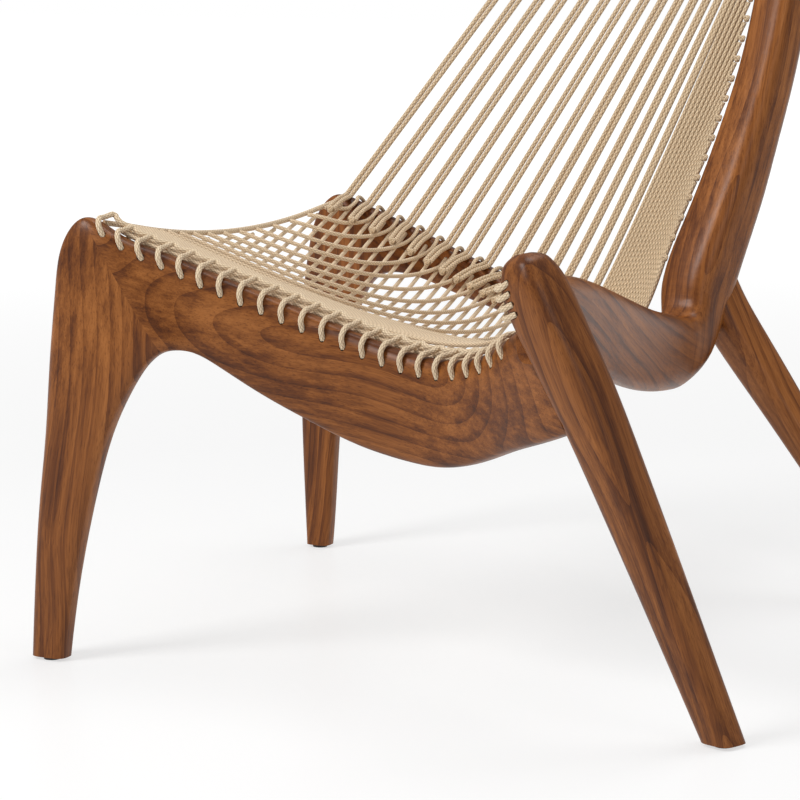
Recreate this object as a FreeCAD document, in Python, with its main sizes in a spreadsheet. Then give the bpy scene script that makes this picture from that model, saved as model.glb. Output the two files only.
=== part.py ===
import FreeCAD, Part
import math
import os
from bisect import bisect_right
from FreeCAD import Placement, Rotation, Vector

# Harp-backed lounge chair of walnut, strung with cord.
# It stands on the XY plane and faces -Y. Left and right are those of someone who looks at its front.
# Tables place their points from the front left foot, and the finished pieces are moved together so that
# the origin lies in the middle of the chair's footprint.

SIZES = [
    ("foot_span", 674, "front feet, centre to centre"),
    ("foot_depth", 549, "front feet to back feet, centre to centre"),
    ("knee_height", 420, "top of the front knees above the floor"),
    ("post_rise", 794, "top of the back post above its elbow"),
    ("post_lean", 335, "how far the post leans back over that rise"),
    ("post_drift", 40, "how far the post swings to the right on its way up"),
    ("rail_thickness", 28, "front and back rails and the legs that carry on from them"),
    ("board_thickness", 30, "right side board"),
    ("right_leg_width", 49, "front right leg across its face, at the knee"),
    ("rear_leg_width", 43, "back right leg across its face, at its top"),
    ("post_width", 62, "back post across its face, above the elbow"),
    ("post_thickness", 58, "back post from side to side, above the elbow"),
    ("dowel_diameter", 10, "dowels in every joint of the frame"),
    ("dowel_length", 44, "the same dowels"),
    ("dowel_spacing", 34, "between the two dowels of a joint in a broad piece"),
    ("narrow_spacing", 18, "between the two dowels of a joint in a narrow piece"),
    ("mitre_inset", 20, "from the middle of a mitre toward its inner edge, to the middle of its dowels"),
    ("dowel_clearance", 0.1, "between a dowel and its bore, and past its ends"),
    ("glide_diameter", 16, "round glide under each foot"),
    ("glide_height", 3, "the same glides"),
    ("seat_cord", 5.4, "diameter of the cord that laces the seat to the wood and edges it"),
    ("weave_cord", 4.2, "diameter of the cords that make the seat"),
    ("back_string", 4.8, "diameter of the strings of the back"),
    ("knot_diameter", 7.6, "knot where a string ends on the post"),
    ("cord_gap", 0.5, "between two cords, and between a cord and the wood"),
    ("hole_clearance", 1.2, "how much wider than its cord a hole is"),
    ("hole_depth", 9, "holes for the seat cord, from the face in"),
    ("hole_drop", 8.5, "from the top of the front rail down to its holes"),
    ("back_hole_drop", 13, "from the top of the back rail down to its holes"),
    ("leg_hole_inset", 9.6, "from the left edge of the right leg to its holes"),
    ("cord_end", 4, "how far a cord reaches into its hole"),
    ("fold_rise", 1.0, "how much further out the points of a cord stand where it goes round a rail"),
    ("string_rise", 2.1, "the same for a back string, which folds over the rail more sharply"),
    ("fold_run", 16, "how far before the back rail a cord begins to climb over it"),
    ("entry_run", 26, "how far a cord runs straight before its hole in the side board"),
    ("climb_drop", 4.5, "from the top of the back rail down to where such a cord lies against it"),
    ("band_drop", 2.5, "from the top of the front rail down to the cords that lie behind it"),
    ("back_band_drop", 9, "from the top of the back rail down to the seat cords beside it"),
    ("layer_gap", 1.8, "between the upper and the lower seat cords where they cross"),
    ("tail_length", 60, "string tails that come over the back rail into the seat"),
    ("tail_lift", 3.2, "how far a tail bows up between its bend and its end"),
    ("low_drop", 40, "from the top of the side board to its front hole for a seat cord"),
    ("high_drop", 16, "from the top of the side board to its back hole for a seat cord"),
    ("single_tail", 17, "the shorter tails of the strings that stand one by one"),
    ("seat_sag", 24, "how far the seat hangs below a flat sheet between its rails"),
    ("edge_sag", 22, "how far the free left edge of the seat hangs"),
]

LOOP_COUNT = 23
LEG_LOOP_COUNT = 4
BAND_COUNT = 5
CROSS_COUNT = 12
DIAGONAL_COUNT = 30
PAIR_COUNT = 14
SINGLE_COUNT = 17
NOSE_STEPS = 4
FOLD_STEPS = 5
RING_POINTS = 28
CREST_STEPS = 240
ARCH_SQUARENESS = 3.4
STICK_SQUARENESS = 3.6
ARC_SHARE = 0.45
STRAIGHT_ANGLE = 0.004
NEAR_SHARE = 0.0001
SEARCH_ROUNDS = 20
HOLE_TILT = 45
EDGE_POWER = 4
BAND_POINTS = 26
BAND_START_SHARE = 0.02
BAND_END_SHARE = 0.985
BAND_STEP_SHARE = 0.012
EDGE_SHARES = (0.05, 0.2, 0.35, 0.5, 0.65, 0.8, 0.95)
LEVEL_COUNT = 12
LEVEL_START_SHARES = (0.05, 0.17)
LEVEL_TURN_SHARES = (0.66, 0.54)
LEVEL_END_SHARES = (0.24, 0.84)
LEVEL_STEP_SHARES = (0, 0.14, 0.28, 0.42, 0.56, 0.70, 0.84)
BOARD_ROWS = (1.7, 4.8)
LIFT_POWER = 1.6
CURVE_START_SHARES = (0.19, 0.92)
CURVE_START_POWER = 1.3
CURVE_POINTS = 7
DIAGONAL_DRIFT_SHARE = 0.2
DIAGONAL_POINTS = 6
DIAGONAL_SPAN_SHARES = (0.04, 0.74)
TAIL_MIDDLE_SHARE = 0.45
PAIR_KNOTS_SHARE = 0.5
NOSE_ANGLE = math.radians(8)
CREST_ANGLE = math.radians(45)
STRING_ANGLES = (math.radians(16), math.radians(-34))

# Front arch, from the left foot up over the knee and along the front rail: the inner edge x and z, the
# outer edge x and z, y, all as shares of foot span, knee height and foot depth, then the thickness as
# a share of the rail's and the way the face looks, in degrees from the front toward the right.
FRONT_ARCH_SHARES = [
    (0.024, -0.020, -0.028, -0.020, 0.000, 0.84, 4),
    (0.044, 0.185, -0.020, 0.185, 0.000, 0.92, 4),
    (0.067, 0.352, -0.011, 0.363, 0.002, 1.00, 4),
    (0.096, 0.513, 0.000, 0.535, 0.006, 1.05, 4),
    (0.121, 0.601, 0.006, 0.694, 0.010, 1.05, 5),
    (0.144, 0.663, 0.013, 0.850, 0.016, 1.02, 7),
    (0.160, 0.694, 0.026, 0.955, 0.022, 1.00, 8),
    (0.175, 0.711, 0.056, 1.000, 0.028, 0.98, 8),
    (0.192, 0.716, 0.096, 0.968, 0.038, 0.98, 7),
    (0.213, 0.709, 0.151, 0.931, 0.056, 1.00, 5),
    (0.248, 0.677, 0.223, 0.889, 0.072, 1.00, 3),
    (0.304, 0.623, 0.295, 0.848, 0.087, 1.00, 0),
    (0.374, 0.570, 0.368, 0.806, 0.097, 1.00, -3),
    (0.446, 0.526, 0.441, 0.768, 0.100, 1.00, -6),
    (0.518, 0.503, 0.514, 0.738, 0.093, 1.00, -12),
    (0.580, 0.500, 0.580, 0.731, 0.074, 1.00, -20),
    (0.642, 0.524, 0.640, 0.748, 0.042, 1.00, -30),
    (0.700, 0.563, 0.690, 0.784, 0.000, 1.00, -38),
    (0.760, 0.600, 0.745, 0.840, -0.052, 0.98, -42),
    (0.822, 0.640, 0.800, 0.865, -0.096, 0.94, -42),
]
FRONT_MITRE_ROW = 7
FRONT_CREST_ROWS = (7.45, 17.4)

# Back arch, from the left back foot over its knee and along the back rail to the post.
BACK_ARCH_SHARES = [
    (0.019, -0.020, -0.019, -0.020, 1.000, 0.78, 184),
    (0.031, 0.206, -0.024, 0.206, 0.998, 0.86, 184),
    (0.042, 0.395, -0.026, 0.395, 0.995, 0.92, 184),
    (0.061, 0.556, -0.024, 0.556, 0.991, 0.98, 184),
    (0.083, 0.666, -0.019, 0.688, 0.989, 1.00, 185),
    (0.107, 0.723, -0.008, 0.806, 0.988, 1.00, 187),
    (0.128, 0.742, 0.008, 0.892, 0.989, 1.00, 190),
    (0.148, 0.745, 0.036, 0.938, 0.993, 1.00, 193),
    (0.170, 0.738, 0.076, 0.922, 1.002, 1.00, 194),
    (0.196, 0.722, 0.131, 0.882, 1.017, 1.00, 193),
    (0.226, 0.700, 0.190, 0.837, 1.031, 1.00, 189),
    (0.258, 0.680, 0.250, 0.790, 1.042, 0.98, 183),
    (0.306, 0.656, 0.306, 0.752, 1.045, 0.96, 175),
    (0.372, 0.632, 0.371, 0.720, 1.032, 0.96, 164),
    (0.447, 0.611, 0.447, 0.698, 0.990, 0.96, 153),
    (0.529, 0.596, 0.529, 0.686, 0.925, 0.96, 144),
    (0.607, 0.588, 0.606, 0.680, 0.852, 0.96, 139),
    (0.675, 0.585, 0.675, 0.676, 0.780, 0.96, 137),
]
BACK_MITRE_ROW = 7
BACK_CREST_ROWS = (7, 16)

# Front right leg, from its foot up to the dome of its knee: the centre, then width and thickness as
# shares of the leg's width, and the way its right face looks.
RIGHT_LEG_SHARES = [
    (1.004, 0.002, -0.020, 0.60, 0.60, 71),
    (0.952, -0.018, 0.196, 0.70, 0.70, 71),
    (0.904, -0.042, 0.402, 0.80, 0.80, 71),
    (0.872, -0.064, 0.546, 0.87, 0.87, 71),
    (0.845, -0.085, 0.668, 0.93, 0.93, 71),
    (0.823, -0.100, 0.758, 0.97, 0.97, 71),
    (0.798, -0.111, 0.847, 1.00, 1.00, 71),
    (0.779, -0.118, 0.915, 0.99, 0.99, 71),
    (0.770, -0.121, 0.950, 0.90, 0.90, 71),
    (0.765, -0.123, 0.975, 0.74, 0.74, 71),
    (0.762, -0.124, 0.991, 0.50, 0.50, 71),
    (0.761, -0.124, 0.998, 0.24, 0.24, 71),
]
LEG_CREST_ROWS = (6.8, 8)

# Right side board, from the knee back to the elbow: the centre, then its height as a share of the knee
# height, its thickness as a share of the board's, and the way its outer face looks.
BOARD_SHARES = [
    (0.772, -0.110, 0.862, 0.172, 1.00, 80),
    (0.762, 0.020, 0.846, 0.176, 1.00, 80),
    (0.748, 0.180, 0.800, 0.180, 1.00, 80),
    (0.732, 0.360, 0.738, 0.184, 1.00, 80),
    (0.716, 0.540, 0.682, 0.184, 1.04, 80),
    (0.702, 0.680, 0.652, 0.174, 1.12, 79),
]

# The elbow goes on from the board and turns up into the post: the centre, the width as a share of the
# knee height, the thickness as a share of the post's, and the way the outer face looks.
ELBOW_SHARES = [
    (0.694, 0.775, 0.642, 0.148, 0.64, 78),
    (0.690, 0.828, 0.662, 0.134, 0.80, 77),
    (0.687, 0.860, 0.704, 0.134, 0.92, 75),
]

# Back post above the elbow: places along its drift, lean and rise, then width and thickness as shares
# of the post's, and the way its outer face looks.
POST_SHARES = [
    (-0.10, 0.016, 0.056, 1.02, 1.00, 73),
    (0.00, 0.045, 0.090, 1.04, 1.04, 72),
    (0.20, 0.088, 0.135, 1.00, 1.00, 71),
    (0.46, 0.146, 0.194, 0.94, 0.95, 71),
    (0.66, 0.212, 0.256, 0.87, 0.89, 71),
    (0.84, 0.300, 0.332, 0.82, 0.84, 71),
    (0.94, 0.405, 0.430, 0.79, 0.81, 71),
    (0.90, 0.540, 0.556, 0.74, 0.76, 71),
    (0.72, 0.675, 0.685, 0.67, 0.69, 71),
    (0.42, 0.805, 0.810, 0.58, 0.60, 71),
    (0.10, 0.910, 0.912, 0.49, 0.51, 71),
    (-0.06, 0.958, 0.960, 0.40, 0.41, 71),
    (-0.14, 0.985, 0.987, 0.26, 0.27, 71),
    (-0.17, 0.997, 0.999, 0.11, 0.12, 71),
]
POST_FOOT_SHARES = (0.692, 0.870, 0.640)
KNOT_ROWS = (20, 10)

# Back right leg, from its foot up to where it meets the post.
REAR_LEG_SHARES = [
    (1.012, 1.000, -0.020, 0.54, 0.56, 70),
    (0.915, 0.996, 0.205, 0.66, 0.68, 70),
    (0.840, 0.985, 0.385, 0.80, 0.80, 70),
    (0.783, 0.968, 0.529, 0.92, 0.92, 70),
    (0.742, 0.945, 0.640, 1.00, 1.00, 70),
    (0.716, 0.928, 0.722, 1.00, 1.00, 70),
    (0.702, 0.925, 0.785, 0.90, 0.92, 70),
]

doc = FreeCAD.newDocument("harp_chair")
sheet = doc.addObject("Spreadsheet::Sheet", "sizes")
for row, (alias, value, meaning) in enumerate(SIZES, start=1):
    sheet.set(f"A{row}", alias)
    sheet.set(f"B{row}", str(value))
    sheet.set(f"C{row}", meaning)
    sheet.setAlias(f"B{row}", alias)
doc.recompute()


def size(alias):
    """One driving dimension from the sheet, in millimetres."""
    return float(sheet.get(alias))


def place(x_share, y_share, z_share):
    """A point of the frame, measured from the front left foot."""
    return Vector(
        x_share * size("foot_span"), y_share * size("foot_depth"), z_share * size("knee_height")
    )


def post_place(drift_share, lean_share, rise_share):
    """A point on the centre line of the back post."""
    return place(*POST_FOOT_SHARES) + Vector(
        drift_share * size("post_drift"), lean_share * size("post_lean"), rise_share * size("post_rise")
    )


def looking(degrees):
    """The horizontal direction that a face looks in, from the front toward the right."""
    angle = math.radians(degrees)
    return Vector(math.sin(angle), -math.cos(angle), 0)


def signed_power(value, power):
    return math.copysign(abs(value) ** power, value)


def mixed(start, end, share):
    """A number or a point between two others."""
    return start + (end - start) * share


def evenly(count):
    """Evenly spaced shares from 0 to 1."""
    return [i / (count - 1) for i in range(count)]


class Section:
    """A rounded cross section: its centre, its two half axes and the squareness of its corners."""

    def __init__(self, centre, across, face, squareness):
        self.centre, self.across, self.face, self.squareness = centre, across, face, squareness

    def upward(self):
        return Vector(self.across).normalize()

    def outward(self):
        return Vector(self.face).normalize()

    def angle_at(self, depth):
        """Where the rim lies a given depth below the outer end of the across axis."""
        share = 1 - depth / self.across.Length
        return math.acos(signed_power(share, self.squareness / 2))

    def rim(self, angle):
        """A point of the rim, at an angle from the across axis toward the face."""
        x = signed_power(math.cos(angle), 2 / self.squareness)
        y = signed_power(math.sin(angle), 2 / self.squareness)
        return self.centre + self.across * x + self.face * y


class Member:
    """A carved piece of wood: sections along it, joined by smooth lines."""

    def __init__(self, sections):
        self.sections = sections
        steps = [0.0]
        for before, after in zip(sections, sections[1:]):
            steps.append(steps[-1] + (after.centre - before.centre).Length)
        self.along = [step / steps[-1] for step in steps]
        self.lines = [
            self.line([getattr(section, axis) for section in sections])
            for axis in ("centre", "across", "face")
        ]

    def line(self, points):
        curve = Part.BSplineCurve()
        curve.interpolate(Points=list(points), Parameters=self.along)
        return curve

    def at_row(self, row):
        """How far along a row of the member's table lies, or a place between two rows."""
        low = min(int(row), len(self.along) - 2)
        return mixed(self.along[low], self.along[low + 1], row - low)

    def section(self, share):
        """The section at a share of the way along."""
        centre, across, face = (line.value(share) for line in self.lines)
        return Section(centre, across, face, self.sections[0].squareness)

    def direction(self, share):
        return self.lines[0].tangent(share)[0]

    def line_direction(self, share, angle):
        """The way the member's surface runs along it, at an angle round its section."""
        before, after = self.section(share - NEAR_SHARE), self.section(share + NEAR_SHARE)
        return (after.rim(angle) - before.rim(angle)).normalize()

    def off(self, share, angle, clear):
        """A point square off the member's surface by a clearance."""
        section = self.section(share)
        point = section.rim(angle)
        round_rim = section.rim(angle + NEAR_SHARE) - section.rim(angle - NEAR_SHARE)
        normal = round_rim.cross(self.line_direction(share, angle)).normalize()
        return point + normal * math.copysign(clear, normal.dot(point - section.centre))

    def marked(self, start, end, marks, angle=0.0):
        """Shares at which the rim's line at an angle has run given parts of its length."""
        shares = [mixed(start, end, i / CREST_STEPS) for i in range(CREST_STEPS + 1)]
        points = [self.section(share).rim(angle) for share in shares]
        lengths = [0.0]
        for before, after in zip(points, points[1:]):
            lengths.append(lengths[-1] + (after - before).Length)
        found = []
        for mark in marks:
            goal = lengths[-1] * mark
            k = min(bisect_right(lengths, goal), CREST_STEPS)
            part = (goal - lengths[k - 1]) / (lengths[k] - lengths[k - 1])
            found.append(mixed(shares[k - 1], shares[k], part))
        return found

    def rim_length(self, start, end, angle=0.0):
        points = [
            self.section(mixed(start, end, i / CREST_STEPS)).rim(angle) for i in range(CREST_STEPS + 1)
        ]
        return sum((after - before).Length for before, after in zip(points, points[1:]))

    def solid(self):
        """The member's solid: one smooth skin, closed by a flat face at each end."""
        around = [i / RING_POINTS for i in range(RING_POINTS + 1)]
        rings = []
        for section in self.sections:
            ring = Part.BSplineCurve()
            rim = [section.rim(2 * math.pi * share) for share in around[:-1]]
            ring.interpolate(Points=rim, Parameters=around, PeriodicFlag=True)
            rings.append(ring)
        lines = [self.line(poles) for poles in zip(*(ring.getPoles() for ring in rings))]
        skin = Part.BSplineSurface()
        skin.buildFromPolesMultsKnots(
            [line.getPoles() for line in lines],
            rings[0].getMultiplicities(), lines[0].getMultiplicities(),
            rings[0].getKnots(), lines[0].getKnots(),
            True, False, rings[0].Degree, lines[0].Degree,
        )
        ends = [Part.Face(Part.Wire(skin.vIso(share).toShape())) for share in (0.0, 1.0)]
        shell = Part.Shell([skin.toShape()] + ends)
        shell.sewShape()
        solid = Part.Solid(shell)
        if solid.Volume < 0:
            solid.reverse()
        return solid


def arch_sections(shares, squareness):
    """Sections of an arch whose inner and outer edges are given."""
    sections = []
    for x_in, z_in, x_out, z_out, y, thick, degrees in shares:
        inner, outer = place(x_in, y, z_in), place(x_out, y, z_out)
        across = (outer - inner) * 0.5
        face = square_to(looking(degrees), across)
        sections.append(Section(
            inner + across, across, face * (thick * size("rail_thickness") / 2), squareness,
        ))
    return sections


def stick_sections(rows, squareness):
    """Sections square to a centre line: each row holds centre, width, thickness and face angle."""
    sections = []
    for i, (centre, width, thickness, degrees) in enumerate(rows):
        along = rows[min(i + 1, len(rows) - 1)][0] - rows[max(i - 1, 0)][0]
        face = square_to(looking(degrees), along)
        across = face.cross(along).normalize()
        sections.append(Section(centre, across * (width / 2), face * (thickness / 2), squareness))
    return sections


def square_to(direction, axis):
    """The part of a direction that is square to an axis, as a unit vector."""
    unit = Vector(axis).normalize()
    return (direction - unit * direction.dot(unit)).normalize()


def carved(name, member):
    """A carved blank as an object of the document."""
    blank = doc.addObject("Part::Feature", name)
    blank.Shape = member.solid()
    return blank


def cut(name, base, tool):
    result = doc.addObject("Part::Cut", name)
    result.Base, result.Tool = base, tool
    return result


def common(name, base, tool):
    result = doc.addObject("Part::Common", name)
    result.Base, result.Tool = base, tool
    return result


def group(name, members):
    """Separate solids of one kind, kept together as one sub-part."""
    result = doc.addObject("Part::Compound", name)
    result.Links = members
    return result


def pin(name, centre, direction, radius, length):
    """A cylinder centred on a point, its radius and length bound to the sheet."""
    cylinder = doc.addObject("Part::Cylinder", name)
    cylinder.setExpression("Radius", radius)
    cylinder.setExpression("Height", length)
    doc.recompute()
    turn = Rotation(Vector(0, 0, 1), direction)
    back = turn.multVec(Vector(0, 0, cylinder.Height.Value / 2))
    cylinder.Placement = Placement(centre - back, turn)
    return cylinder


def dowel_joint(name, centre, direction, spread, spacing):
    """Two dowels of a joint, and the bores that take them."""
    dowels, bores = [], []
    for middle in (centre - spread * (spacing / 2), centre + spread * (spacing / 2)):
        number = len(dowels) + 1
        dowels.append(pin(
            f"{name}_dowel_{number}", middle, direction,
            "sizes.dowel_diameter / 2", "sizes.dowel_length",
        ))
        bores.append(pin(
            f"{name}_bore_{number}", middle, direction,
            "sizes.dowel_diameter / 2 + sizes.dowel_clearance",
            "sizes.dowel_length + 2 * sizes.dowel_clearance",
        ))
    return group(f"{name}_dowels", dowels), group(f"{name}_bores", bores)


def sawn(member, row):
    """The direction square to a member's section, the way the member runs."""
    section = member.sections[row]
    ahead = section.upward().cross(section.outward())
    return ahead * math.copysign(1, ahead.dot(member.direction(member.along[row])))


def beyond(name, member, row):
    """A block that covers everything past a section of a member, for sawing a mitre."""
    block = doc.addObject("Part::Box", name)
    for edge in ("Length", "Width", "Height"):
        block.setExpression(edge, "sizes.foot_span * 2")
    doc.recompute()
    half = block.Length.Value / 2
    section = member.sections[row]
    turn = Rotation(section.upward(), section.outward(), sawn(member, row), "ZXY")
    block.Placement = Placement(section.centre - turn.multVec(Vector(half, half, 0)), turn)
    return block


def entering(member, solid, outside, inside):
    """How far along a member its centre line goes into a solid."""
    while abs(inside - outside) > NEAR_SHARE:
        middle = (outside + inside) / 2
        if solid.isInside(member.section(middle).centre, NEAR_SHARE, True):
            inside = middle
        else:
            outside = middle
    return inside


# Shapes of the frame before its joints and holes.
front_arch = Member(arch_sections(FRONT_ARCH_SHARES, ARCH_SQUARENESS))
back_arch = Member(arch_sections(BACK_ARCH_SHARES, ARCH_SQUARENESS))
right_leg = Member(stick_sections([
    (place(x, y, z), width * size("right_leg_width"), thick * size("right_leg_width"), degrees)
    for x, y, z, width, thick, degrees in RIGHT_LEG_SHARES
], STICK_SQUARENESS))
rear_leg = Member(stick_sections([
    (place(x, y, z), width * size("rear_leg_width"), thick * size("rear_leg_width"), degrees)
    for x, y, z, width, thick, degrees in REAR_LEG_SHARES
], STICK_SQUARENESS))
side_post = Member(stick_sections([
    (place(x, y, z), height * size("knee_height"), thick * size("board_thickness"), degrees)
    for x, y, z, height, thick, degrees in BOARD_SHARES
] + [
    (place(x, y, z), width * size("knee_height"), thick * size("post_thickness"), degrees)
    for x, y, z, width, thick, degrees in ELBOW_SHARES
] + [
    (post_place(drift, lean, rise), width * size("post_width"), thick * size("post_thickness"), degrees)
    for drift, lean, rise, width, thick, degrees in POST_SHARES
], STICK_SQUARENESS))

# The stretches of the two rails that carry cords.
front_span = [front_arch.at_row(row) for row in FRONT_CREST_ROWS]
back_span = [back_arch.at_row(row) for row in BACK_CREST_ROWS]


def joined(name, base, *tools):
    """A blank fitted to its neighbours: each tool is taken away in turn."""
    for number, tool in enumerate(tools, start=1):
        last = number == len(tools)
        base = cut(name if last else f"{name}_stage_{number}", base, tool)
    return base


def rounded_path(points):
    """Straight runs joined by tangent arcs, each as large as its two runs allow, and their radii."""
    edges, radii, start = [], [], points[0]
    for before, corner, after in zip(points, points[1:], points[2:]):
        back, ahead = (before - corner), (after - corner)
        reach = min(back.Length, ahead.Length) * ARC_SHARE
        back.normalize()
        ahead.normalize()
        half = back.getAngle(ahead) / 2
        if math.pi / 2 - half < STRAIGHT_ANGLE:
            continue
        radius = reach * math.tan(half)
        middle = corner + (back + ahead).normalize() * (reach / math.cos(half) - radius)
        first, last = corner + back * reach, corner + ahead * reach
        edges.append(Part.LineSegment(start, first).toShape())
        edges.append(Part.Arc(first, middle, last).toShape())
        radii.append(radius)
        start = last
    edges.append(Part.LineSegment(start, points[-1]).toShape())
    return Part.Wire(edges), radii


def cords(name, routes, diameter):
    """Cords of one kind, each its own solid, kept together as one sub-part."""
    solids, all_radii, plain_volume = [], [], 0
    for points in routes:
        path, radii = rounded_path(points)
        ring = Part.Circle(points[0], points[1] - points[0], diameter / 2).toShape()
        solids.append(path.makePipeShell([Part.Wire(ring)], True, False))
        all_radii += radii
        plain_volume += path.Length * math.pi * (diameter / 2) ** 2
    result = doc.addObject("Part::Feature", name)
    result.Shape = Part.Compound(solids)
    print(
        f"{name}: {len(all_radii)} bends of {min(all_radii):.1f} to {max(all_radii):.0f} mm radius,"
        f" volume {result.Shape.Volume / plain_volume:.4f} of section times length"
    )
    return result


# Blanks, and the tools that fit them to each other.
front_blank = carved("front_arch_blank", front_arch)
back_blank = carved("back_arch_blank", back_arch)
right_leg_blank = carved("right_leg_blank", right_leg)
rear_leg_blank = carved("rear_leg_blank", rear_leg)
side_blank = carved("side_blank", side_post)
front_saw = beyond("front_mitre_saw", front_arch, FRONT_MITRE_ROW)
back_saw = beyond("back_mitre_saw", back_arch, BACK_MITRE_ROW)

floor_saw = doc.addObject("Part::Box", "floor_saw")
for edge in ("Length", "Width", "Height"):
    floor_saw.setExpression(edge, "sizes.foot_span * 2")
doc.recompute()
floor_saw.Placement.Base = Vector(
    (size("foot_span") - floor_saw.Length.Value) / 2,
    (size("foot_depth") - floor_saw.Width.Value) / 2,
    size("glide_height") - floor_saw.Height.Value,
)


def mitre_dowels(name, member, row, spacing):
    section = member.sections[row]
    middle = section.centre - section.upward() * size("mitre_inset")
    return dowel_joint(name, middle, sawn(member, row), section.upward(), spacing)


def butt_dowels(name, member, solid, outside, inside, spacing):
    """Dowels where the end of a member meets the side of another piece."""
    share = entering(member, solid, outside, inside)
    section = member.section(share)
    return dowel_joint(name, section.centre, member.direction(share), section.upward(), spacing)


front_mitre_dowels, front_mitre_bores = mitre_dowels(
    "front_left_mitre", front_arch, FRONT_MITRE_ROW, size("dowel_spacing")
)
back_mitre_dowels, back_mitre_bores = mitre_dowels(
    "back_left_mitre", back_arch, BACK_MITRE_ROW, size("narrow_spacing")
)
front_rail_dowels, front_rail_bores = butt_dowels(
    "front_rail_end", front_arch, right_leg_blank.Shape, front_span[1], 1.0,
    size("dowel_spacing"),
)
board_dowels, board_bores = butt_dowels(
    "side_board_end", side_post, right_leg_blank.Shape, side_post.at_row(2), 0.0, size("dowel_spacing")
)
back_rail_dowels, back_rail_bores = butt_dowels(
    "back_rail_end", back_arch, side_blank.Shape, back_span[1], 1.0,
    size("narrow_spacing"),
)
rear_leg_dowels, rear_leg_bores = butt_dowels(
    "back_right_leg_top", rear_leg, side_blank.Shape, rear_leg.at_row(2), 1.0, size("narrow_spacing")
)

# Distances between cords, and from the wood.
cord_reach = size("seat_cord") / 2 + size("cord_gap")
weave_reach = size("weave_cord") / 2 + size("cord_gap")
string_reach = size("back_string") / 2 + size("cord_gap")
weave_pitch = size("weave_cord") + size("cord_gap")
string_pitch = size("back_string") + size("cord_gap")
lower_layer = Vector(0, 0, -size("weave_cord") - size("layer_gap"))


class Drilling:
    """A slanting hole for a cord, which comes along the wood to a corner point off its face."""

    def __init__(self, name, cord, member, share, angle):
        section = member.section(share)
        clear = size(cord) / 2 + size("cord_gap") + size("fold_rise") / 2
        self.corner = member.off(share, angle, clear)
        out = (self.corner - section.rim(angle)).normalize()
        along_rim = square_to(section.rim(angle) - section.centre, out)
        tilt = math.radians(HOLE_TILT)
        inward = (out * -math.cos(tilt) + along_rim * -math.sin(tilt)).normalize()
        self.mouth = self.corner + inward * (clear / math.cos(tilt))
        self.end = self.mouth + inward * size("cord_end")
        self.hole = pin(
            name, self.mouth, inward, f"(sizes.{cord} + sizes.hole_clearance) / 2",
            "2 * sizes.hole_depth",
        )


def over(cord, member, share, first, last, steps):
    """Points round a member's outer edge, a little further off it than the cord will run."""
    clear = size(cord) / 2 + size("cord_gap") + size("fold_rise")
    return [member.off(share, mixed(first, last, i / steps), clear) for i in range(steps)]


def beside(member, share, drop, clear=weave_reach):
    """A point beside a rail on its seat side, a given drop below its top."""
    return member.off(share, -member.section(share).angle_at(drop), clear)


def front_edge(u):
    return beside(front_arch, mixed(*front_span, u), size("band_drop"))


def back_edge(u):
    return beside(back_arch, mixed(*back_span, u), size("back_band_drop"))


def seat(u, v):
    """A point of the seat, u from its free left edge to the right and v from front to back."""
    sag = mixed(size("seat_sag"), size("edge_sag"), (1 - u) ** EDGE_POWER)
    return mixed(front_edge(u), back_edge(u), v) - Vector(0, 0, sag * 4 * v * (1 - v))


def turned(step, turn_u, end_u, start_v, end_v):
    """A point of a seat cord that leaves the free edge along the front rail and turns to the back."""
    u = 2 * step * (1 - step) * turn_u + step ** 2 * end_u
    return seat(u, mixed(start_v, end_v, step ** 2))


def seat_level(point, u, v):
    """The height of the seat right below or above a point, searched for from a place nearby."""
    for _ in range(SEARCH_ROUNDS):
        miss = point - seat(u, v)
        u += miss.x / size("foot_span")
        v += miss.y / size("foot_depth")
    return seat(u, v).z


def band(u, number):
    """A point on one of the cords that lie side by side along the front rail."""
    section = front_arch.section(mixed(*front_span, u))
    return front_edge(u) - section.outward() * (number * weave_pitch)


# Loops over the front rail, from the top of the band of cords beside it down into their holes.
front_marks = evenly(LOOP_COUNT)
front_shares = front_arch.marked(*front_span, front_marks)
front_loops, front_holes = [], []
front_places = [(share - front_span[0]) / (front_span[1] - front_span[0]) for share in front_shares]
for number, (u, share) in enumerate(zip(front_places, front_shares), start=1):
    section = front_arch.section(share)
    hole_angle = section.angle_at(size("hole_drop"))
    drilling = Drilling(f"front_hole_{number}", "seat_cord", front_arch, share, hole_angle)
    upward = square_to(section.upward(), front_arch.line_direction(share, 0))
    lid = band(u, 1) + upward * (cord_reach + size("weave_cord") / 2 + 2 * size("fold_rise"))
    front_loops.append(
        [lid] + over("seat_cord", front_arch, share, -NOSE_ANGLE, hole_angle, NOSE_STEPS)
        + [drilling.corner, drilling.end]
    )
    front_holes.append(drilling.hole)

# Loops round the left edge of the right leg, where the seat is laced to it.
leg_loops, leg_holes = [], []
for share in right_leg.marked(
    *map(right_leg.at_row, LEG_CREST_ROWS), evenly(LEG_LOOP_COUNT), -CREST_ANGLE
):
    section = right_leg.section(share)
    inset_share = 1 - size("leg_hole_inset") / section.face.Length
    hole_angle = math.asin(inset_share ** (section.squareness / 2))
    number = len(leg_loops) + 1
    outer = Drilling(f"leg_hole_{number}_front", "seat_cord", right_leg, share, -hole_angle)
    inner = Drilling(f"leg_hole_{number}_back", "seat_cord", right_leg, share, hole_angle - math.pi / 2)
    middle = right_leg.off(share, -CREST_ANGLE, cord_reach + size("fold_rise"))
    leg_loops.append([inner.end, inner.corner, middle, outer.corner, outer.end])
    leg_holes += [outer.hole, inner.hole]

# Cords side by side along the front rail.
band_cords = [
    [
        band(mixed(BAND_START_SHARE, BAND_END_SHARE - number * BAND_STEP_SHARE, share), number)
        for share in evenly(BAND_POINTS)
    ]
    for number in range(BAND_COUNT)
]

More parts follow.
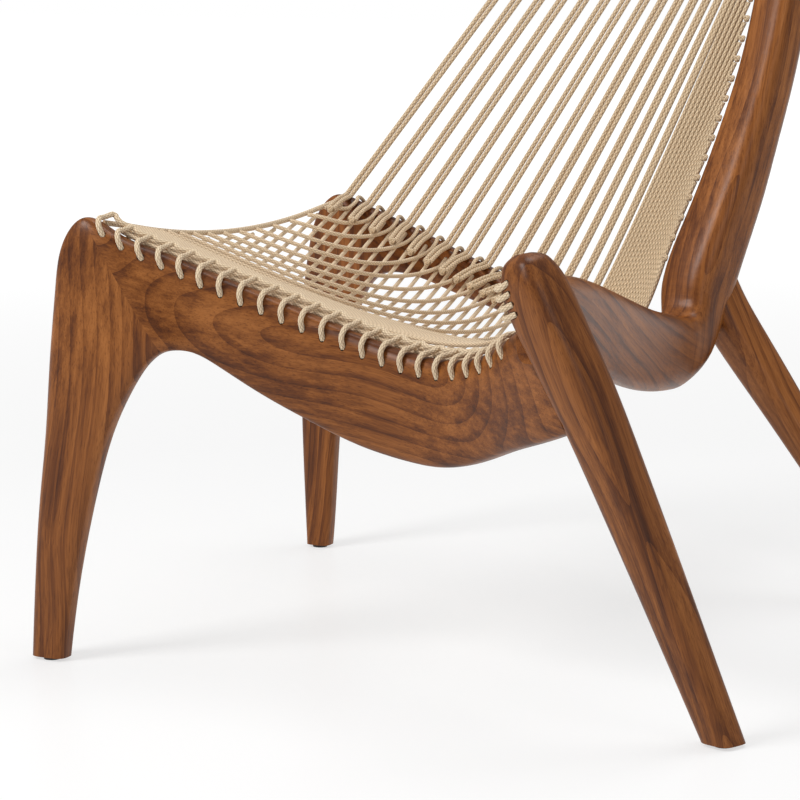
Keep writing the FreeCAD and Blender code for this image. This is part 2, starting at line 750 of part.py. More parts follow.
# The cord of the seat's free left edge, from rail to rail.
edge_cord = (
    [beside(front_arch, front_span[0], size("band_drop"), size("cord_gap"))]
    + [seat(0, v) for v in EDGE_SHARES]
    + [beside(back_arch, back_span[0], size("back_band_drop"), size("cord_gap"))]
)

# Cords that leave the free edge along the front rail and turn to the back: the first ones run into the
# right side board, the others go over the back rail between the pairs of back strings.
beside_edge = Vector(cord_reach + size("seat_cord") / 4, 0, 0)
board_cords, board_holes = [], []
for number, share in enumerate(evenly(LEVEL_COUNT), start=1):
    start_v, end_v = mixed(*LEVEL_START_SHARES, share), mixed(*LEVEL_END_SHARES, share)
    turn_u = mixed(*LEVEL_TURN_SHARES, share)
    place_share = side_post.at_row(mixed(*BOARD_ROWS, share))
    section = side_post.section(place_share)
    angle = -section.angle_at(mixed(size("low_drop"), size("high_drop"), share))
    face = section.rim(angle)
    near = side_post.off(place_share, angle, size("entry_run"))
    inward = (face - near).normalize()
    lift = near - seat(1, end_v)
    route = [
        turned(step, turn_u, 1, start_v, end_v) + lift * step ** LIFT_POWER + beside_edge * (1 - step)
        for step in LEVEL_STEP_SHARES
    ]
    board_cords.append(route + [near, face + inward * size("cord_end")])
    board_holes.append(pin(
        f"board_hole_{number}", face, inward,
        "(sizes.weave_cord + sizes.hole_clearance) / 2", "2 * sizes.hole_depth",
    ))

back_length = back_arch.rim_length(*back_span)
pair_pitch = (back_length - SINGLE_COUNT * string_pitch) / PAIR_COUNT
pair_marks = [pair_pitch * (i + 1 / 2) / back_length for i in range(PAIR_COUNT)]
between_marks = [pair_pitch * (i + 1) / back_length for i in range(CROSS_COUNT)]
single_marks = [
    (pair_pitch * PAIR_COUNT + string_pitch * (i + 1 / 2)) / back_length for i in range(SINGLE_COUNT)
]

cross_cords, back_holes = [], []
between_shares = back_arch.marked(*back_span, between_marks)
for number, (share, part) in enumerate(zip(between_shares, evenly(CROSS_COUNT)), start=1):
    section = back_arch.section(share)
    end_u = (share - back_span[0]) / (back_span[1] - back_span[0])
    start_v = mixed(*CURVE_START_SHARES, (1 - part) ** CURVE_START_POWER)
    last_step = 1 - size("fold_run") / (seat(end_u, 1) - seat(0, start_v)).Length
    route = [
        turned(mark * last_step, end_u, end_u, start_v, 1) + beside_edge * (1 - mark)
        for mark in evenly(CURVE_POINTS)
    ]
    hole_angle = section.angle_at(size("back_hole_drop"))
    drilling = Drilling(f"back_hole_{number}", "weave_cord", back_arch, share, hole_angle)
    climb_angle = -section.angle_at(size("climb_drop"))
    fold = over("weave_cord", back_arch, share, climb_angle, hole_angle, FOLD_STEPS)
    cross_cords.append(route + fold + [drilling.corner, drilling.end])
    back_holes.append(drilling.hole)

# Cords of the lower layer, which run from the front rail to the back and toward the free edge.
diagonal_cords = []
diagonal_marks = [mixed(*DIAGONAL_SPAN_SHARES, mark) for mark in evenly(DIAGONAL_COUNT)]
lower_drop, back_lower_drop = (size(drop) - lower_layer.z for drop in ("band_drop", "back_band_drop"))
for share in front_arch.marked(*front_span, diagonal_marks):
    u = (share - front_span[0]) / (front_span[1] - front_span[0])
    end_u, end_v = max(u - DIAGONAL_DRIFT_SHARE, 0), min(u / DIAGONAL_DRIFT_SHARE, 1)
    route = [
        seat(mixed(u, end_u, step), step * end_v) + lower_layer for step in evenly(DIAGONAL_POINTS)
    ]
    route[0] = beside(front_arch, share, lower_drop, size("cord_gap"))
    if end_u:
        route[-1] = beside(back_arch, mixed(*back_span, end_u), back_lower_drop, size("cord_gap"))
    diagonal_cords.append(route)

# Knots down the inner corner of the back post, and the strings that hang from them to the back rail.
knot_reach = size("knot_diameter") / 2 + size("cord_gap") / 2
knots = []
knot_marks = [PAIR_KNOTS_SHARE * mark for mark in evenly(PAIR_COUNT)]
knot_marks += [mixed(PAIR_KNOTS_SHARE, 1, mark) for mark in evenly(SINGLE_COUNT + 1)[1:]]
knot_shares = side_post.marked(*map(side_post.at_row, KNOT_ROWS), knot_marks, -CREST_ANGLE)
for number, share in enumerate(knot_shares, start=1):
    knot = doc.addObject("Part::Sphere", f"back_knot_{number}")
    knot.setExpression("Radius", "sizes.knot_diameter / 2")
    knot.Placement.Base = side_post.off(share, -CREST_ANGLE, knot_reach)
    knots.append(knot)


def string(share, knot, tail_length, side=0):
    """A back string from beside its knot down over the rail's top, with its tail on the seat."""
    section = back_arch.section(share)
    u = (share - back_span[0]) / (back_span[1] - back_span[0])
    high, low = (
        back_arch.off(share, angle, string_reach + size("string_rise")) for angle in STRING_ANGLES
    )
    upward = (knot - high).normalize()
    tail_end = back_edge(u) + square_to(section.outward() * -1, Vector(0, 0, 1)) * tail_length
    tail_end.z = seat_level(tail_end, u, 1) + (weave_pitch + string_pitch) / 2 + 2 * size("cord_gap")
    middle = mixed(low, tail_end, TAIL_MIDDLE_SHARE) + Vector(0, 0, size("tail_lift"))
    rail_line = back_arch.line_direction(share, 0)
    across, tail_across = (
        square_to(rail_line, run) * (side * string_pitch / 2) for run in (upward, tail_end - low)
    )
    top = knot - upward * (size("knot_diameter") / 2 + size("cord_gap"))
    return [
        top + across, high + across, low + tail_across, middle + tail_across, tail_end + tail_across,
    ]


knot_places = [knot.Placement.Base for knot in knots]
back_strings = []
for share, knot in zip(back_arch.marked(*back_span, pair_marks), knot_places):
    back_strings += [string(share, knot, size("tail_length"), side) for side in (-1, 1)]
for share, knot in zip(back_arch.marked(*back_span, single_marks), knot_places[PAIR_COUNT:]):
    back_strings.append(string(share, knot, size("single_tail")))

# The finished pieces of the frame.
front_hole_group = group("front_holes", front_holes)
front_left_leg = joined(
    "front_left_leg", front_blank, front_saw, floor_saw, front_mitre_bores, front_hole_group
)
front_rail = joined(
    "front_rail", common("front_rail_blank", front_blank, front_saw), right_leg_blank,
    front_mitre_bores, front_rail_bores, board_bores, front_hole_group,
)
front_right_leg = joined(
    "front_right_leg", right_leg_blank, floor_saw, front_rail_bores, board_bores,
    group("leg_holes", leg_holes),
)
side_board = joined(
    "side_board_and_back_post", side_blank, right_leg_blank, front_blank, board_bores,
    back_rail_bores, rear_leg_bores, group("board_holes", board_holes),
)
back_left_leg = joined("back_left_leg", back_blank, back_saw, floor_saw, back_mitre_bores)
back_rail = joined(
    "back_rail", common("back_rail_blank", back_blank, back_saw), side_blank, back_mitre_bores,
    back_rail_bores, group("back_holes", back_holes),
)
back_right_leg = joined("back_right_leg", rear_leg_blank, side_blank, floor_saw, rear_leg_bores)

glides = []
for number, member in enumerate((front_arch, right_leg, back_arch, rear_leg), start=1):
    low, high = member.sections[0].centre, member.sections[1].centre
    foot = mixed(low, high, (size("glide_height") - low.z) / (high.z - low.z))
    glides.append(pin(
        f"glide_{number}", foot - Vector(0, 0, size("glide_height") / 2), Vector(0, 0, 1),
        "sizes.glide_diameter / 2", "sizes.glide_height",
    ))

seat_cord, weave_cord, back_string = size("seat_cord"), size("weave_cord"), size("back_string")
pair_strings = 2 * PAIR_COUNT
parts = [
    front_left_leg, front_rail, front_right_leg, side_board, back_left_leg, back_rail, back_right_leg,
    front_mitre_dowels, back_mitre_dowels, front_rail_dowels, board_dowels, back_rail_dowels,
    rear_leg_dowels,
    group("foot_glides", glides),
    group("back_post_knots", knots),
    cords("front_rail_loops", front_loops, seat_cord),
    cords("right_leg_loops", leg_loops, seat_cord),
    cords("seat_front_band", band_cords, weave_cord),
    cords("seat_edge_cord", [edge_cord], seat_cord),
    cords("seat_level_cords", board_cords, weave_cord),
    cords("seat_curved_cords_front", cross_cords[CROSS_COUNT // 2:], weave_cord),
    cords("seat_curved_cords_back", cross_cords[:CROSS_COUNT // 2], weave_cord),
    cords("seat_diagonal_cords", diagonal_cords, weave_cord),
    cords("back_strings_left", back_strings[:pair_strings // 2], back_string),
    cords("back_strings_middle", back_strings[pair_strings // 2:pair_strings], back_string),
    cords("back_strings_right", back_strings[pair_strings:], back_string),
]
doc.recompute()
for part in parts:
    part.Label = part.Name

# The chair is moved so that the middle of its footprint is the origin.
whole = FreeCAD.BoundBox()
for part in parts:
    whole.add(part.Shape.optimalBoundingBox())
shift = Vector(-whole.Center.x, -whole.Center.y, 0)
for part in parts:
    part.Placement = Placement(shift, Rotation())
doc.recompute()

broken = [item.Name for item in doc.Objects if {"Invalid", "Error"} & set(item.State)]
if broken:
    raise RuntimeError(f"objects that failed: {broken}")
for part in parts:
    if part.Shape.isNull() or not part.Shape.isValid():
        raise RuntimeError(f"{part.Label} has no valid shape")

os.makedirs("parts", exist_ok=True)
for part in parts:
    box = part.Shape.optimalBoundingBox()
    print(
        f"{part.Label}: {len(part.Shape.Solids)} solids, {part.Shape.Volume:.0f} mm3,"
        f" z {box.ZMin:.1f} to {box.ZMax:.1f}"
    )
    part.Shape.exportStep(os.path.join("parts", f"{part.Label}.step"))
print(f"size {whole.XLength:.1f} x {whole.YLength:.1f} x {whole.ZLength:.1f} mm")
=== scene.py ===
import math

import bpy
import numpy as np
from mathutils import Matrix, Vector


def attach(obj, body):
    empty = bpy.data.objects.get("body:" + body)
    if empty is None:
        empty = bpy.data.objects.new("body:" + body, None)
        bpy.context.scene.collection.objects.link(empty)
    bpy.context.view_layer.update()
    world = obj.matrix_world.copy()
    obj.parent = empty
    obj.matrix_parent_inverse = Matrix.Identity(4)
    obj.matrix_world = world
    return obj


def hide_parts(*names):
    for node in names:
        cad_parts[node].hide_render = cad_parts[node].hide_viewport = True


# Harp-backed lounge chair: walnut grain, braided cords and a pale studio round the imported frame.
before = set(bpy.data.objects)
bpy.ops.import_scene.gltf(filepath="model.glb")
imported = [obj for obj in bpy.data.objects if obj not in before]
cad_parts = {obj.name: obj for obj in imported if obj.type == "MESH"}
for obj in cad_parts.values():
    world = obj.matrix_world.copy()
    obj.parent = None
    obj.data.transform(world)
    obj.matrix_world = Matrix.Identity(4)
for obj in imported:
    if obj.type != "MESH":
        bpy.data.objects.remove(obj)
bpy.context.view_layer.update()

MM = 0.001

# Kinds of cord: diameter, pale colour, the colour of painted shade in its grooves, the length of a
# cell of the braid, and its strands.
CORD_KINDS = {
    "seat_cord": (5.4 * MM, (255, 233, 199), (162, 122, 80), 0.0052, 6),
    "weave_cord": (4.2 * MM, (255, 231, 196), (160, 120, 79), 0.0040, 5),
    "back_string": (4.8 * MM, (246, 220, 183), (122, 86, 52), 0.0056, 4),
}

# Meshes of cords: the distance between their rings, the points of a ring, and the braid's depth.
LOOP_STEP, LOOP_SIDES, LOOP_RELIEF = 0.0007, 20, 0.0004
CORD_STEP, CORD_SIDES = 0.0016, 12
KNOT_STEP, KNOT_SIDES = 0.0012, 8
CURVE_RESOLUTION = 10

# Knots: radii of the knots on the post, of those on the strings' tails and of their thin cord, then
# the points of a knot's path, its size for a radius of one and how deep it is.
KNOT_RADIUS, TAIL_KNOT_RADIUS, KNOT_CORD_RADIUS = 3.8 * MM, 4.2 * MM, 0.0016
KNOT_POINTS, KNOT_SHARE, KNOT_DEPTH = 24, 0.24, 1.4

# Along each hitch: the share of the way to the next loop, then how far it is toward the wood and
# upward, in millimetres.
HITCH = (
    (0.0, 0.0, 0.0), (0.12, -2.0, 0.6), (0.30, 1.5, -0.2),
    (0.62, 3.2, -0.9), (0.85, 0.5, -0.6), (1.0, -1.5, 0.0),
)

# Wood: each piece's direction of grain, the shift of its rings' centre line, and its tone.
WOOD = {
    "front_left_leg": ((0.10, 0.0, 1.0), (0.0, 0.16, 0.10), 0.93),
    "front_rail": ((1.0, -0.05, -0.16), (0.3, 0.30, -0.32), 0.93),
    "front_right_leg": ((-0.29, -0.15, 1.0), (0.1, 0.12, 0.15), 0.90),
    "side_board_and_back_post": ((-0.08, 0.90, -0.34), (0.2, 0.15, 0.12), 1.0),
    "back_left_leg": ((0.05, 0.0, 1.0), (0.5, -0.14, 0.12), 0.97),
    "back_rail": ((0.8, -0.35, -0.25), (0.1, 0.15, 0.12), 1.0),
    "back_right_leg": ((-0.55, -0.08, 1.0), (0.7, 0.14, -0.1), 1.02),
}

# Past the elbow the side board's grain gives way to the post's, between these two depths.
POST_GRAIN = (0.02, 0.36, 0.93)
ELBOW_START, ELBOW_END = 0.02, 0.11

# Layers of the grain: their stretch along it, scale, detail and roughness.
GRAIN_LAYERS = {
    "broad": (0.07, 26.0, 3.0, 0.55),
    "streaks": (0.03, 150.0, 4.0, 0.6),
    "fibre": (0.02, 620.0, 3.0, 0.65),
    "pores": (0.035, 1300.0, 1.0, 0.5),
}
SWAY_STRETCH, SWAY_SCALE, SWAY_REACH = 0.5, 7.0, 0.045
RING_STRETCH, RING_SCALE, RING_DISTORTION, RING_SHARPNESS = 0.06, 26.0, 3.0, 3.0
BROAD_SHARE, LATE_SHARE, STREAK_SHARE, FIBRE_SHARE = 0.55, -0.15, 0.64, 0.30

# Walnut's colours: a place on the figure's scale, and the colour there.
WALNUT_COLOURS = (
    (0.47, (76, 38, 16)), (0.61, (104, 56, 22)), (0.73, (134, 78, 33)), (0.92, (166, 103, 50)),
)
PORE_STOPS = ((0.34, (0.50, 0.42, 0.36)), (0.44, (1.0, 1.0, 1.0)))
PORE_FACTOR = 0.6

# Walnut's gloss and relief: the least roughness, what the fibres add to it, the pores' part of the
# height, and the bump's strength and reach.
WOOD_ROUGHNESS, FIBRE_ROUGHNESS = 0.28, 0.16
PORE_HEIGHT, WOOD_BUMP, WOOD_BUMP_REACH = 0.7, 0.08, 0.0004

# Yarn: the scales of its patches and fuzz, the shade of its darker patches, how the painted shade in
# the braid's grooves darkens it, the fuzz's part of the height, and the bump's strength and reach.
PATCH_SCALE, FUZZ_SCALE, PATCH_SHADE = 26.0, 1500.0, 0.90
GROOVE_SHADE_SLOPE, GROOVE_SHADE_FLOOR = 0.85, 0.26
FUZZ_HEIGHT, YARN_BUMP, YARN_BUMP_REACH = 0.25, 0.75, 0.0007

# Studio: half the floor's width, its glow and where that fades in, and the sky's light.
FLOOR_REACH = 14.0
FLOOR_COLOUR = (0.88, 0.88, 0.88)
FLOOR_GLOW = 1.12
NEAR, FAR, NEAR_SHARE, FAR_SHARE = 1.0, 4.0, 0.55, 1.0
SKY_LIGHT, SKY_SEEN = 0.40, 0.60
WHITE = (1.0, 1.0, 1.0)

# Soft boxes: where each one stands, what it looks at, its size and its power.
LAMPS = {
    "key": ((-1.6, -2.4, 2.6), (0.0, 0.0, 0.4), (1.2, 1.2), 72.0),
    "fill": ((2.6, -1.4, 1.4), (0.0, 0.0, 0.4), (1.2, 1.8), 9.0),
    "top": ((0.3, 0.6, 3.2), (0.0, 0.0, 0.3), (1.6, 1.6), 30.0),
}

# The photo's camera, as solved from the feet: its lens and sensor in millimetres, place and turns.
LENS, SENSOR, CLIP_END = 131.3, 36.0, 60.0
CAMERA_PLACE = (1.1370, -2.6349, 0.7011)
CAMERA_TILT, CAMERA_PAN = 80.4376, 25.959

# The cords' routes, in millimetres, as in the part's source. A slash ends each cord.
ROUTES = {
    "front_rail_loops": """
-282.6,-328.7,421.8 -284.9,-339.1,419.5 -284.3,-346.7,420.2 -283.1,-351.3,419.2
-281.5,-354.9,416.5 -279.4,-357.1,411.9 -277.6,-353.1,403.8 /
-264.9,-323.9,410.1 -267.1,-335.2,408.0 -266.4,-343.0,408.6 -265.3,-347.6,407.5
-263.6,-351.1,404.8 -261.6,-353.3,400.3 -260.2,-349.3,392.1 /
-247.5,-318.9,402.0 -248.8,-329.9,399.6 -248.0,-338.3,400.1 -246.9,-343.3,398.8
-245.3,-346.9,395.7 -243.4,-349.0,390.9 -241.6,-344.7,383.0 /
-227.6,-314.2,395.5 -228.9,-324.9,393.1 -228.2,-333.5,393.5 -227.2,-338.7,392.0
-226.0,-342.4,388.6 -224.5,-344.4,383.6 -222.8,-340.0,375.7 /
-207.2,-310.6,388.4 -208.8,-321.0,385.9 -208.1,-329.8,386.2 -207.4,-335.1,384.6
-206.5,-338.9,381.0 -205.5,-340.9,375.9 -204.2,-336.5,367.9 /
-187.2,-307.5,380.9 -188.7,-317.8,378.5 -188.1,-326.8,378.7 -187.6,-332.2,376.9
-187.1,-335.9,373.2 -186.5,-337.8,367.9 -185.8,-333.4,359.9 /
-167.3,-304.2,373.7 -168.7,-314.5,371.2 -168.2,-323.5,371.4 -167.8,-329.0,369.5
-167.5,-332.6,365.7 -167.3,-334.5,360.4 -167.1,-330.1,352.3 /
-147.1,-300.8,366.7 -148.5,-311.0,364.2 -148.2,-320.0,364.3 -148.0,-325.5,362.4
-147.9,-329.1,358.5 -147.9,-331.0,353.2 -148.0,-326.5,345.1 /
-126.5,-297.8,359.5 -128.2,-307.9,357.0 -128.1,-316.8,357.2 -128.1,-322.3,355.2
-128.2,-326.0,351.3 -128.3,-327.8,346.0 -128.5,-323.4,337.9 /
-106.0,-295.5,352.2 -107.9,-305.4,349.7 -108.0,-314.4,349.9 -108.1,-319.9,347.9
-108.4,-323.5,344.0 -108.6,-325.3,338.7 -108.7,-320.9,330.6 /
-85.5,-293.8,345.0 -87.6,-303.6,342.5 -87.9,-312.5,342.7 -88.1,-318.0,340.7 -88.5,-321.7,336.8
-88.7,-323.5,331.4 -88.8,-319.0,323.3 /
-65.0,-292.7,338.2 -67.2,-302.4,335.6 -67.6,-311.3,335.8 -68.0,-316.8,333.8 -68.4,-320.4,329.9
-68.7,-322.2,324.5 -68.6,-317.8,316.4 /
-44.2,-292.4,331.7 -46.5,-301.9,329.1 -47.2,-310.8,329.3 -47.7,-316.3,327.3 -48.2,-319.9,323.3
-48.5,-321.7,318.0 -48.4,-317.3,309.8 /
-23.2,-292.9,325.4 -25.8,-302.3,322.8 -26.8,-311.1,323.0 -27.4,-316.6,321.0 -28.1,-320.2,317.0
-28.4,-322.0,311.7 -28.1,-317.6,303.5 /
-2.2,-294.4,319.9 -5.0,-303.7,317.3 -6.3,-312.6,317.4 -7.3,-318.1,315.4 -8.0,-321.6,311.4
-8.4,-323.4,306.0 -7.8,-319.0,297.9 /
18.8,-297.3,315.9 16.0,-306.5,313.1 14.1,-315.3,313.3 12.9,-320.8,311.3 12.0,-324.3,307.2
11.6,-326.0,301.8 12.5,-321.7,293.7 /
39.8,-301.7,313.7 36.9,-310.8,310.9 34.5,-319.5,311.2 33.0,-325.0,309.1 32.0,-328.5,305.0
31.5,-330.1,299.6 32.6,-325.9,291.5 /
60.7,-307.6,313.6 57.6,-316.7,310.9 54.5,-325.2,311.2 52.7,-330.5,309.1 51.5,-334.0,305.1
50.9,-335.7,299.7 52.4,-331.6,291.5 /
81.0,-315.3,315.9 77.7,-324.3,313.3 73.8,-332.5,313.5 71.6,-337.7,311.5 70.3,-341.1,307.5
69.7,-342.8,302.1 71.6,-338.9,293.9 /
100.3,-324.7,320.5 96.6,-333.7,317.8 92.1,-341.6,318.0 89.5,-346.5,316.0 88.0,-349.9,311.9
87.4,-351.5,306.6 89.8,-347.8,298.4 /
118.1,-335.8,327.0 114.1,-344.7,324.3 108.9,-352.2,324.3 106.0,-356.9,322.2 104.4,-360.2,318.2
104.0,-361.9,312.8 106.9,-358.4,304.8 /
134.3,-347.7,335.4 130.0,-356.5,332.6 124.5,-363.6,332.5 121.5,-368.2,330.3 119.9,-371.4,326.3
119.5,-373.1,320.9 122.9,-369.8,313.0 /
149.5,-359.8,345.1 145.3,-368.3,342.4 139.6,-375.1,342.1 136.4,-379.6,340.0 134.9,-382.9,335.9
134.6,-384.5,330.5 138.2,-381.3,322.6 /
""",
    "right_leg_loops": """
169.3,-424.5,369.7 163.3,-430.2,365.6 164.2,-438.1,364.9 169.2,-444.3,366.3 177.3,-443.6,370.7 /
166.4,-425.5,377.6 160.4,-431.0,373.2 161.2,-439.0,372.6 166.4,-445.2,374.0 174.3,-444.3,378.7 /
163.9,-426.7,386.3 157.9,-431.5,381.2 158.7,-439.7,380.7 164.1,-445.9,382.1 171.5,-444.4,387.3 /
163.0,-428.0,395.3 156.5,-431.6,389.8 157.2,-440.1,389.4 162.9,-446.3,390.6 169.8,-443.5,396.1 /
""",
    "seat_front_band": """
-273.4,-332.9,408.2 -252.1,-326.5,396.6 -230.8,-320.5,389.3 -209.8,-316.2,381.8
-189.8,-312.9,374.3 -171.4,-309.8,367.5 -154.4,-306.8,361.5 -138.0,-304.2,355.8
-121.8,-302.0,350.1 -105.7,-300.2,344.3 -89.6,-298.8,338.6 -73.5,-297.8,333.2 -57.3,-297.2,327.9
-40.9,-297.1,322.9 -24.3,-297.5,317.9 -7.4,-298.6,313.5 9.7,-300.6,309.8 27.2,-303.7,307.3
44.7,-307.8,306.1 61.7,-312.9,306.5 78.0,-319.1,308.4 93.2,-326.2,311.6 107.3,-334.2,315.9
120.3,-342.8,321.2 132.6,-351.9,327.7 144.7,-361.4,335.3 /
-273.8,-328.3,407.9 -252.8,-321.9,396.5 -231.7,-316.0,389.3 -210.8,-311.7,382.0
-191.0,-308.3,374.6 -172.7,-305.3,367.9 -155.7,-302.4,361.9 -139.4,-299.7,356.3
-123.3,-297.5,350.7 -107.3,-295.7,345.0 -91.4,-294.3,339.4 -75.5,-293.2,333.9 -59.4,-292.6,328.7
-43.1,-292.4,323.7 -26.6,-292.7,318.8 -9.9,-293.7,314.3 7.2,-295.5,310.5 24.6,-298.4,307.7
42.1,-302.3,306.3 59.4,-307.2,306.2 75.9,-313.2,307.8 91.5,-320.1,310.6 106.0,-327.9,314.7
119.3,-336.4,319.7 131.8,-345.4,325.8 143.9,-354.8,333.1 /
-274.2,-323.6,407.7 -253.4,-317.3,396.4 -232.6,-311.4,389.4 -211.9,-307.1,382.2
-192.2,-303.8,374.9 -174.0,-300.8,368.2 -157.1,-297.9,362.3 -140.8,-295.2,356.8
-124.9,-293.0,351.2 -109.0,-291.2,345.6 -93.2,-289.7,340.1 -77.4,-288.7,334.7 -61.5,-288.0,329.5
-45.3,-287.7,324.5 -29.0,-287.9,319.7 -12.4,-288.8,315.1 4.6,-290.5,311.2 21.9,-293.1,308.2
39.5,-296.8,306.5 56.8,-301.5,306.1 73.6,-307.2,307.2 89.6,-314.0,309.8 104.4,-321.6,313.5
118.1,-329.9,318.2 130.8,-338.8,324.0 143.0,-348.1,330.9 /
-274.7,-318.9,407.4 -254.0,-312.7,396.3 -233.4,-306.9,389.4 -213.0,-302.6,382.4
-193.5,-299.3,375.2 -175.3,-296.3,368.6 -158.5,-293.4,362.8 -142.3,-290.7,357.3
-126.4,-288.5,351.8 -110.7,-286.6,346.3 -95.0,-285.2,340.8 -79.3,-284.1,335.4 -63.6,-283.4,330.3
-47.6,-283.0,325.4 -31.4,-283.2,320.5 -14.9,-283.9,316.0 1.9,-285.4,311.9 19.1,-287.8,308.8
36.7,-291.3,306.8 54.1,-295.8,306.1 71.1,-301.3,306.8 87.4,-307.8,309.0 102.7,-315.3,312.3
116.7,-323.5,316.8 129.7,-332.2,322.3 142.0,-341.4,328.8 /
-275.1,-314.2,407.1 -254.7,-308.1,396.2 -234.3,-302.3,389.4 -214.1,-298.0,382.6
-194.7,-294.7,375.5 -176.7,-291.8,369.0 -159.9,-288.9,363.2 -143.8,-286.3,357.8
-128.0,-284.0,352.4 -112.4,-282.1,346.9 -96.8,-280.7,341.5 -81.3,-279.6,336.2 -65.7,-278.8,331.1
-49.9,-278.4,326.2 -33.9,-278.4,321.4 -17.5,-279.1,316.8 -0.8,-280.4,312.7 16.3,-282.6,309.4
33.8,-285.8,307.2 51.3,-290.1,306.1 68.5,-295.4,306.5 85.0,-301.7,308.2 100.6,-308.9,311.3
115.1,-316.9,315.4 128.4,-325.6,320.6 140.9,-334.7,326.8 /
""",
    "seat_edge_cord": """
-285.8,-336.8,414.3 -286.2,-310.2,410.3 -289.0,-234.4,396.5 -291.9,-158.6,386.6 -294.8,-82.8,380.7
-297.7,-7.0,378.8 -300.5,68.8,380.8 -303.4,144.6,386.8 -304.4,171.8,388.8 /
""",
    "seat_level_cords": """
-281.6,-310.2,410.3 -185.5,-287.4,369.4 -114.1,-274.0,344.7 -52.0,-265.9,325.3 6.2,-264.2,312.1
58.9,-270.8,312.2 98.2,-282.1,323.7 130.0,-293.7,342.7 159.8,-290.9,340.8 /
-281.8,-304.7,409.2 -187.1,-281.8,368.8 -116.2,-267.0,344.1 -54.5,-256.8,324.5 3.2,-252.1,311.1
55.7,-255.0,310.3 95.3,-262.1,321.1 127.4,-268.5,339.1 157.2,-265.7,337.1 /
-282.0,-299.2,408.0 -188.7,-275.9,368.2 -118.3,-259.7,343.3 -57.1,-246.8,323.4 0.2,-238.7,309.5
52.4,-237.5,307.8 92.2,-239.8,317.6 124.5,-240.2,334.4 154.3,-237.4,332.3 /
-282.2,-293.7,406.9 -190.3,-270.1,367.6 -120.4,-252.3,342.4 -59.7,-236.9,322.1 -2.9,-225.2,307.7
49.2,-219.8,305.0 89.0,-217.4,313.9 121.5,-211.7,329.5 151.3,-209.0,327.3 /
-282.5,-288.2,405.9 -191.9,-264.3,367.0 -122.5,-245.0,341.5 -62.3,-226.9,320.8 -5.9,-211.8,305.7
45.9,-202.2,302.1 85.9,-195.1,310.0 118.6,-183.2,324.4 148.4,-180.6,322.2 /
-282.7,-282.7,404.8 -193.5,-258.5,366.4 -124.6,-237.6,340.5 -64.9,-216.9,319.4 -8.8,-198.4,303.7
42.8,-184.6,299.1 82.8,-172.7,306.1 115.8,-154.8,319.5 145.6,-152.3,317.2 /
-282.9,-277.1,403.8 -195.1,-252.7,365.8 -126.6,-230.3,339.6 -67.4,-207.0,317.9 -11.7,-185.0,301.7
39.6,-167.1,296.2 79.8,-150.6,302.3 112.9,-126.7,314.7 142.7,-124.1,312.2 /
-283.1,-271.6,402.8 -196.7,-247.0,365.2 -128.7,-223.0,338.7 -69.9,-197.2,316.5 -14.6,-171.8,299.7
36.4,-149.8,293.4 76.6,-128.7,298.8 109.9,-98.8,310.4 139.7,-95.9,307.6 /
-283.3,-266.1,401.8 -198.4,-241.2,364.7 -130.8,-215.8,337.8 -72.5,-187.4,315.2 -17.6,-158.6,297.8
33.1,-132.6,290.9 73.2,-106.9,295.7 106.6,-71.2,306.7 136.3,-67.8,303.6 /
-283.5,-260.6,400.8 -200.0,-235.7,364.3 -132.9,-209.3,337.2 -75.0,-178.9,314.2 -20.5,-147.5,296.6
30.0,-118.4,289.3 70.1,-89.2,293.9 103.7,-48.9,304.8 133.2,-45.1,301.2 /
-283.7,-255.1,399.9 -201.6,-230.2,363.8 -135.0,-202.8,336.6 -77.5,-170.6,313.3 -23.3,-136.7,295.4
26.9,-104.6,287.8 67.0,-72.0,292.3 100.7,-27.3,303.4 130.2,-23.6,299.3 /
-283.9,-249.6,398.9 -203.2,-224.7,363.4 -137.1,-196.4,336.0 -79.9,-162.3,312.4 -26.0,-125.8,294.2
23.9,-90.7,286.3 64.0,-54.6,290.8 97.9,-5.5,302.0 127.4,-2.2,297.3 /
""",
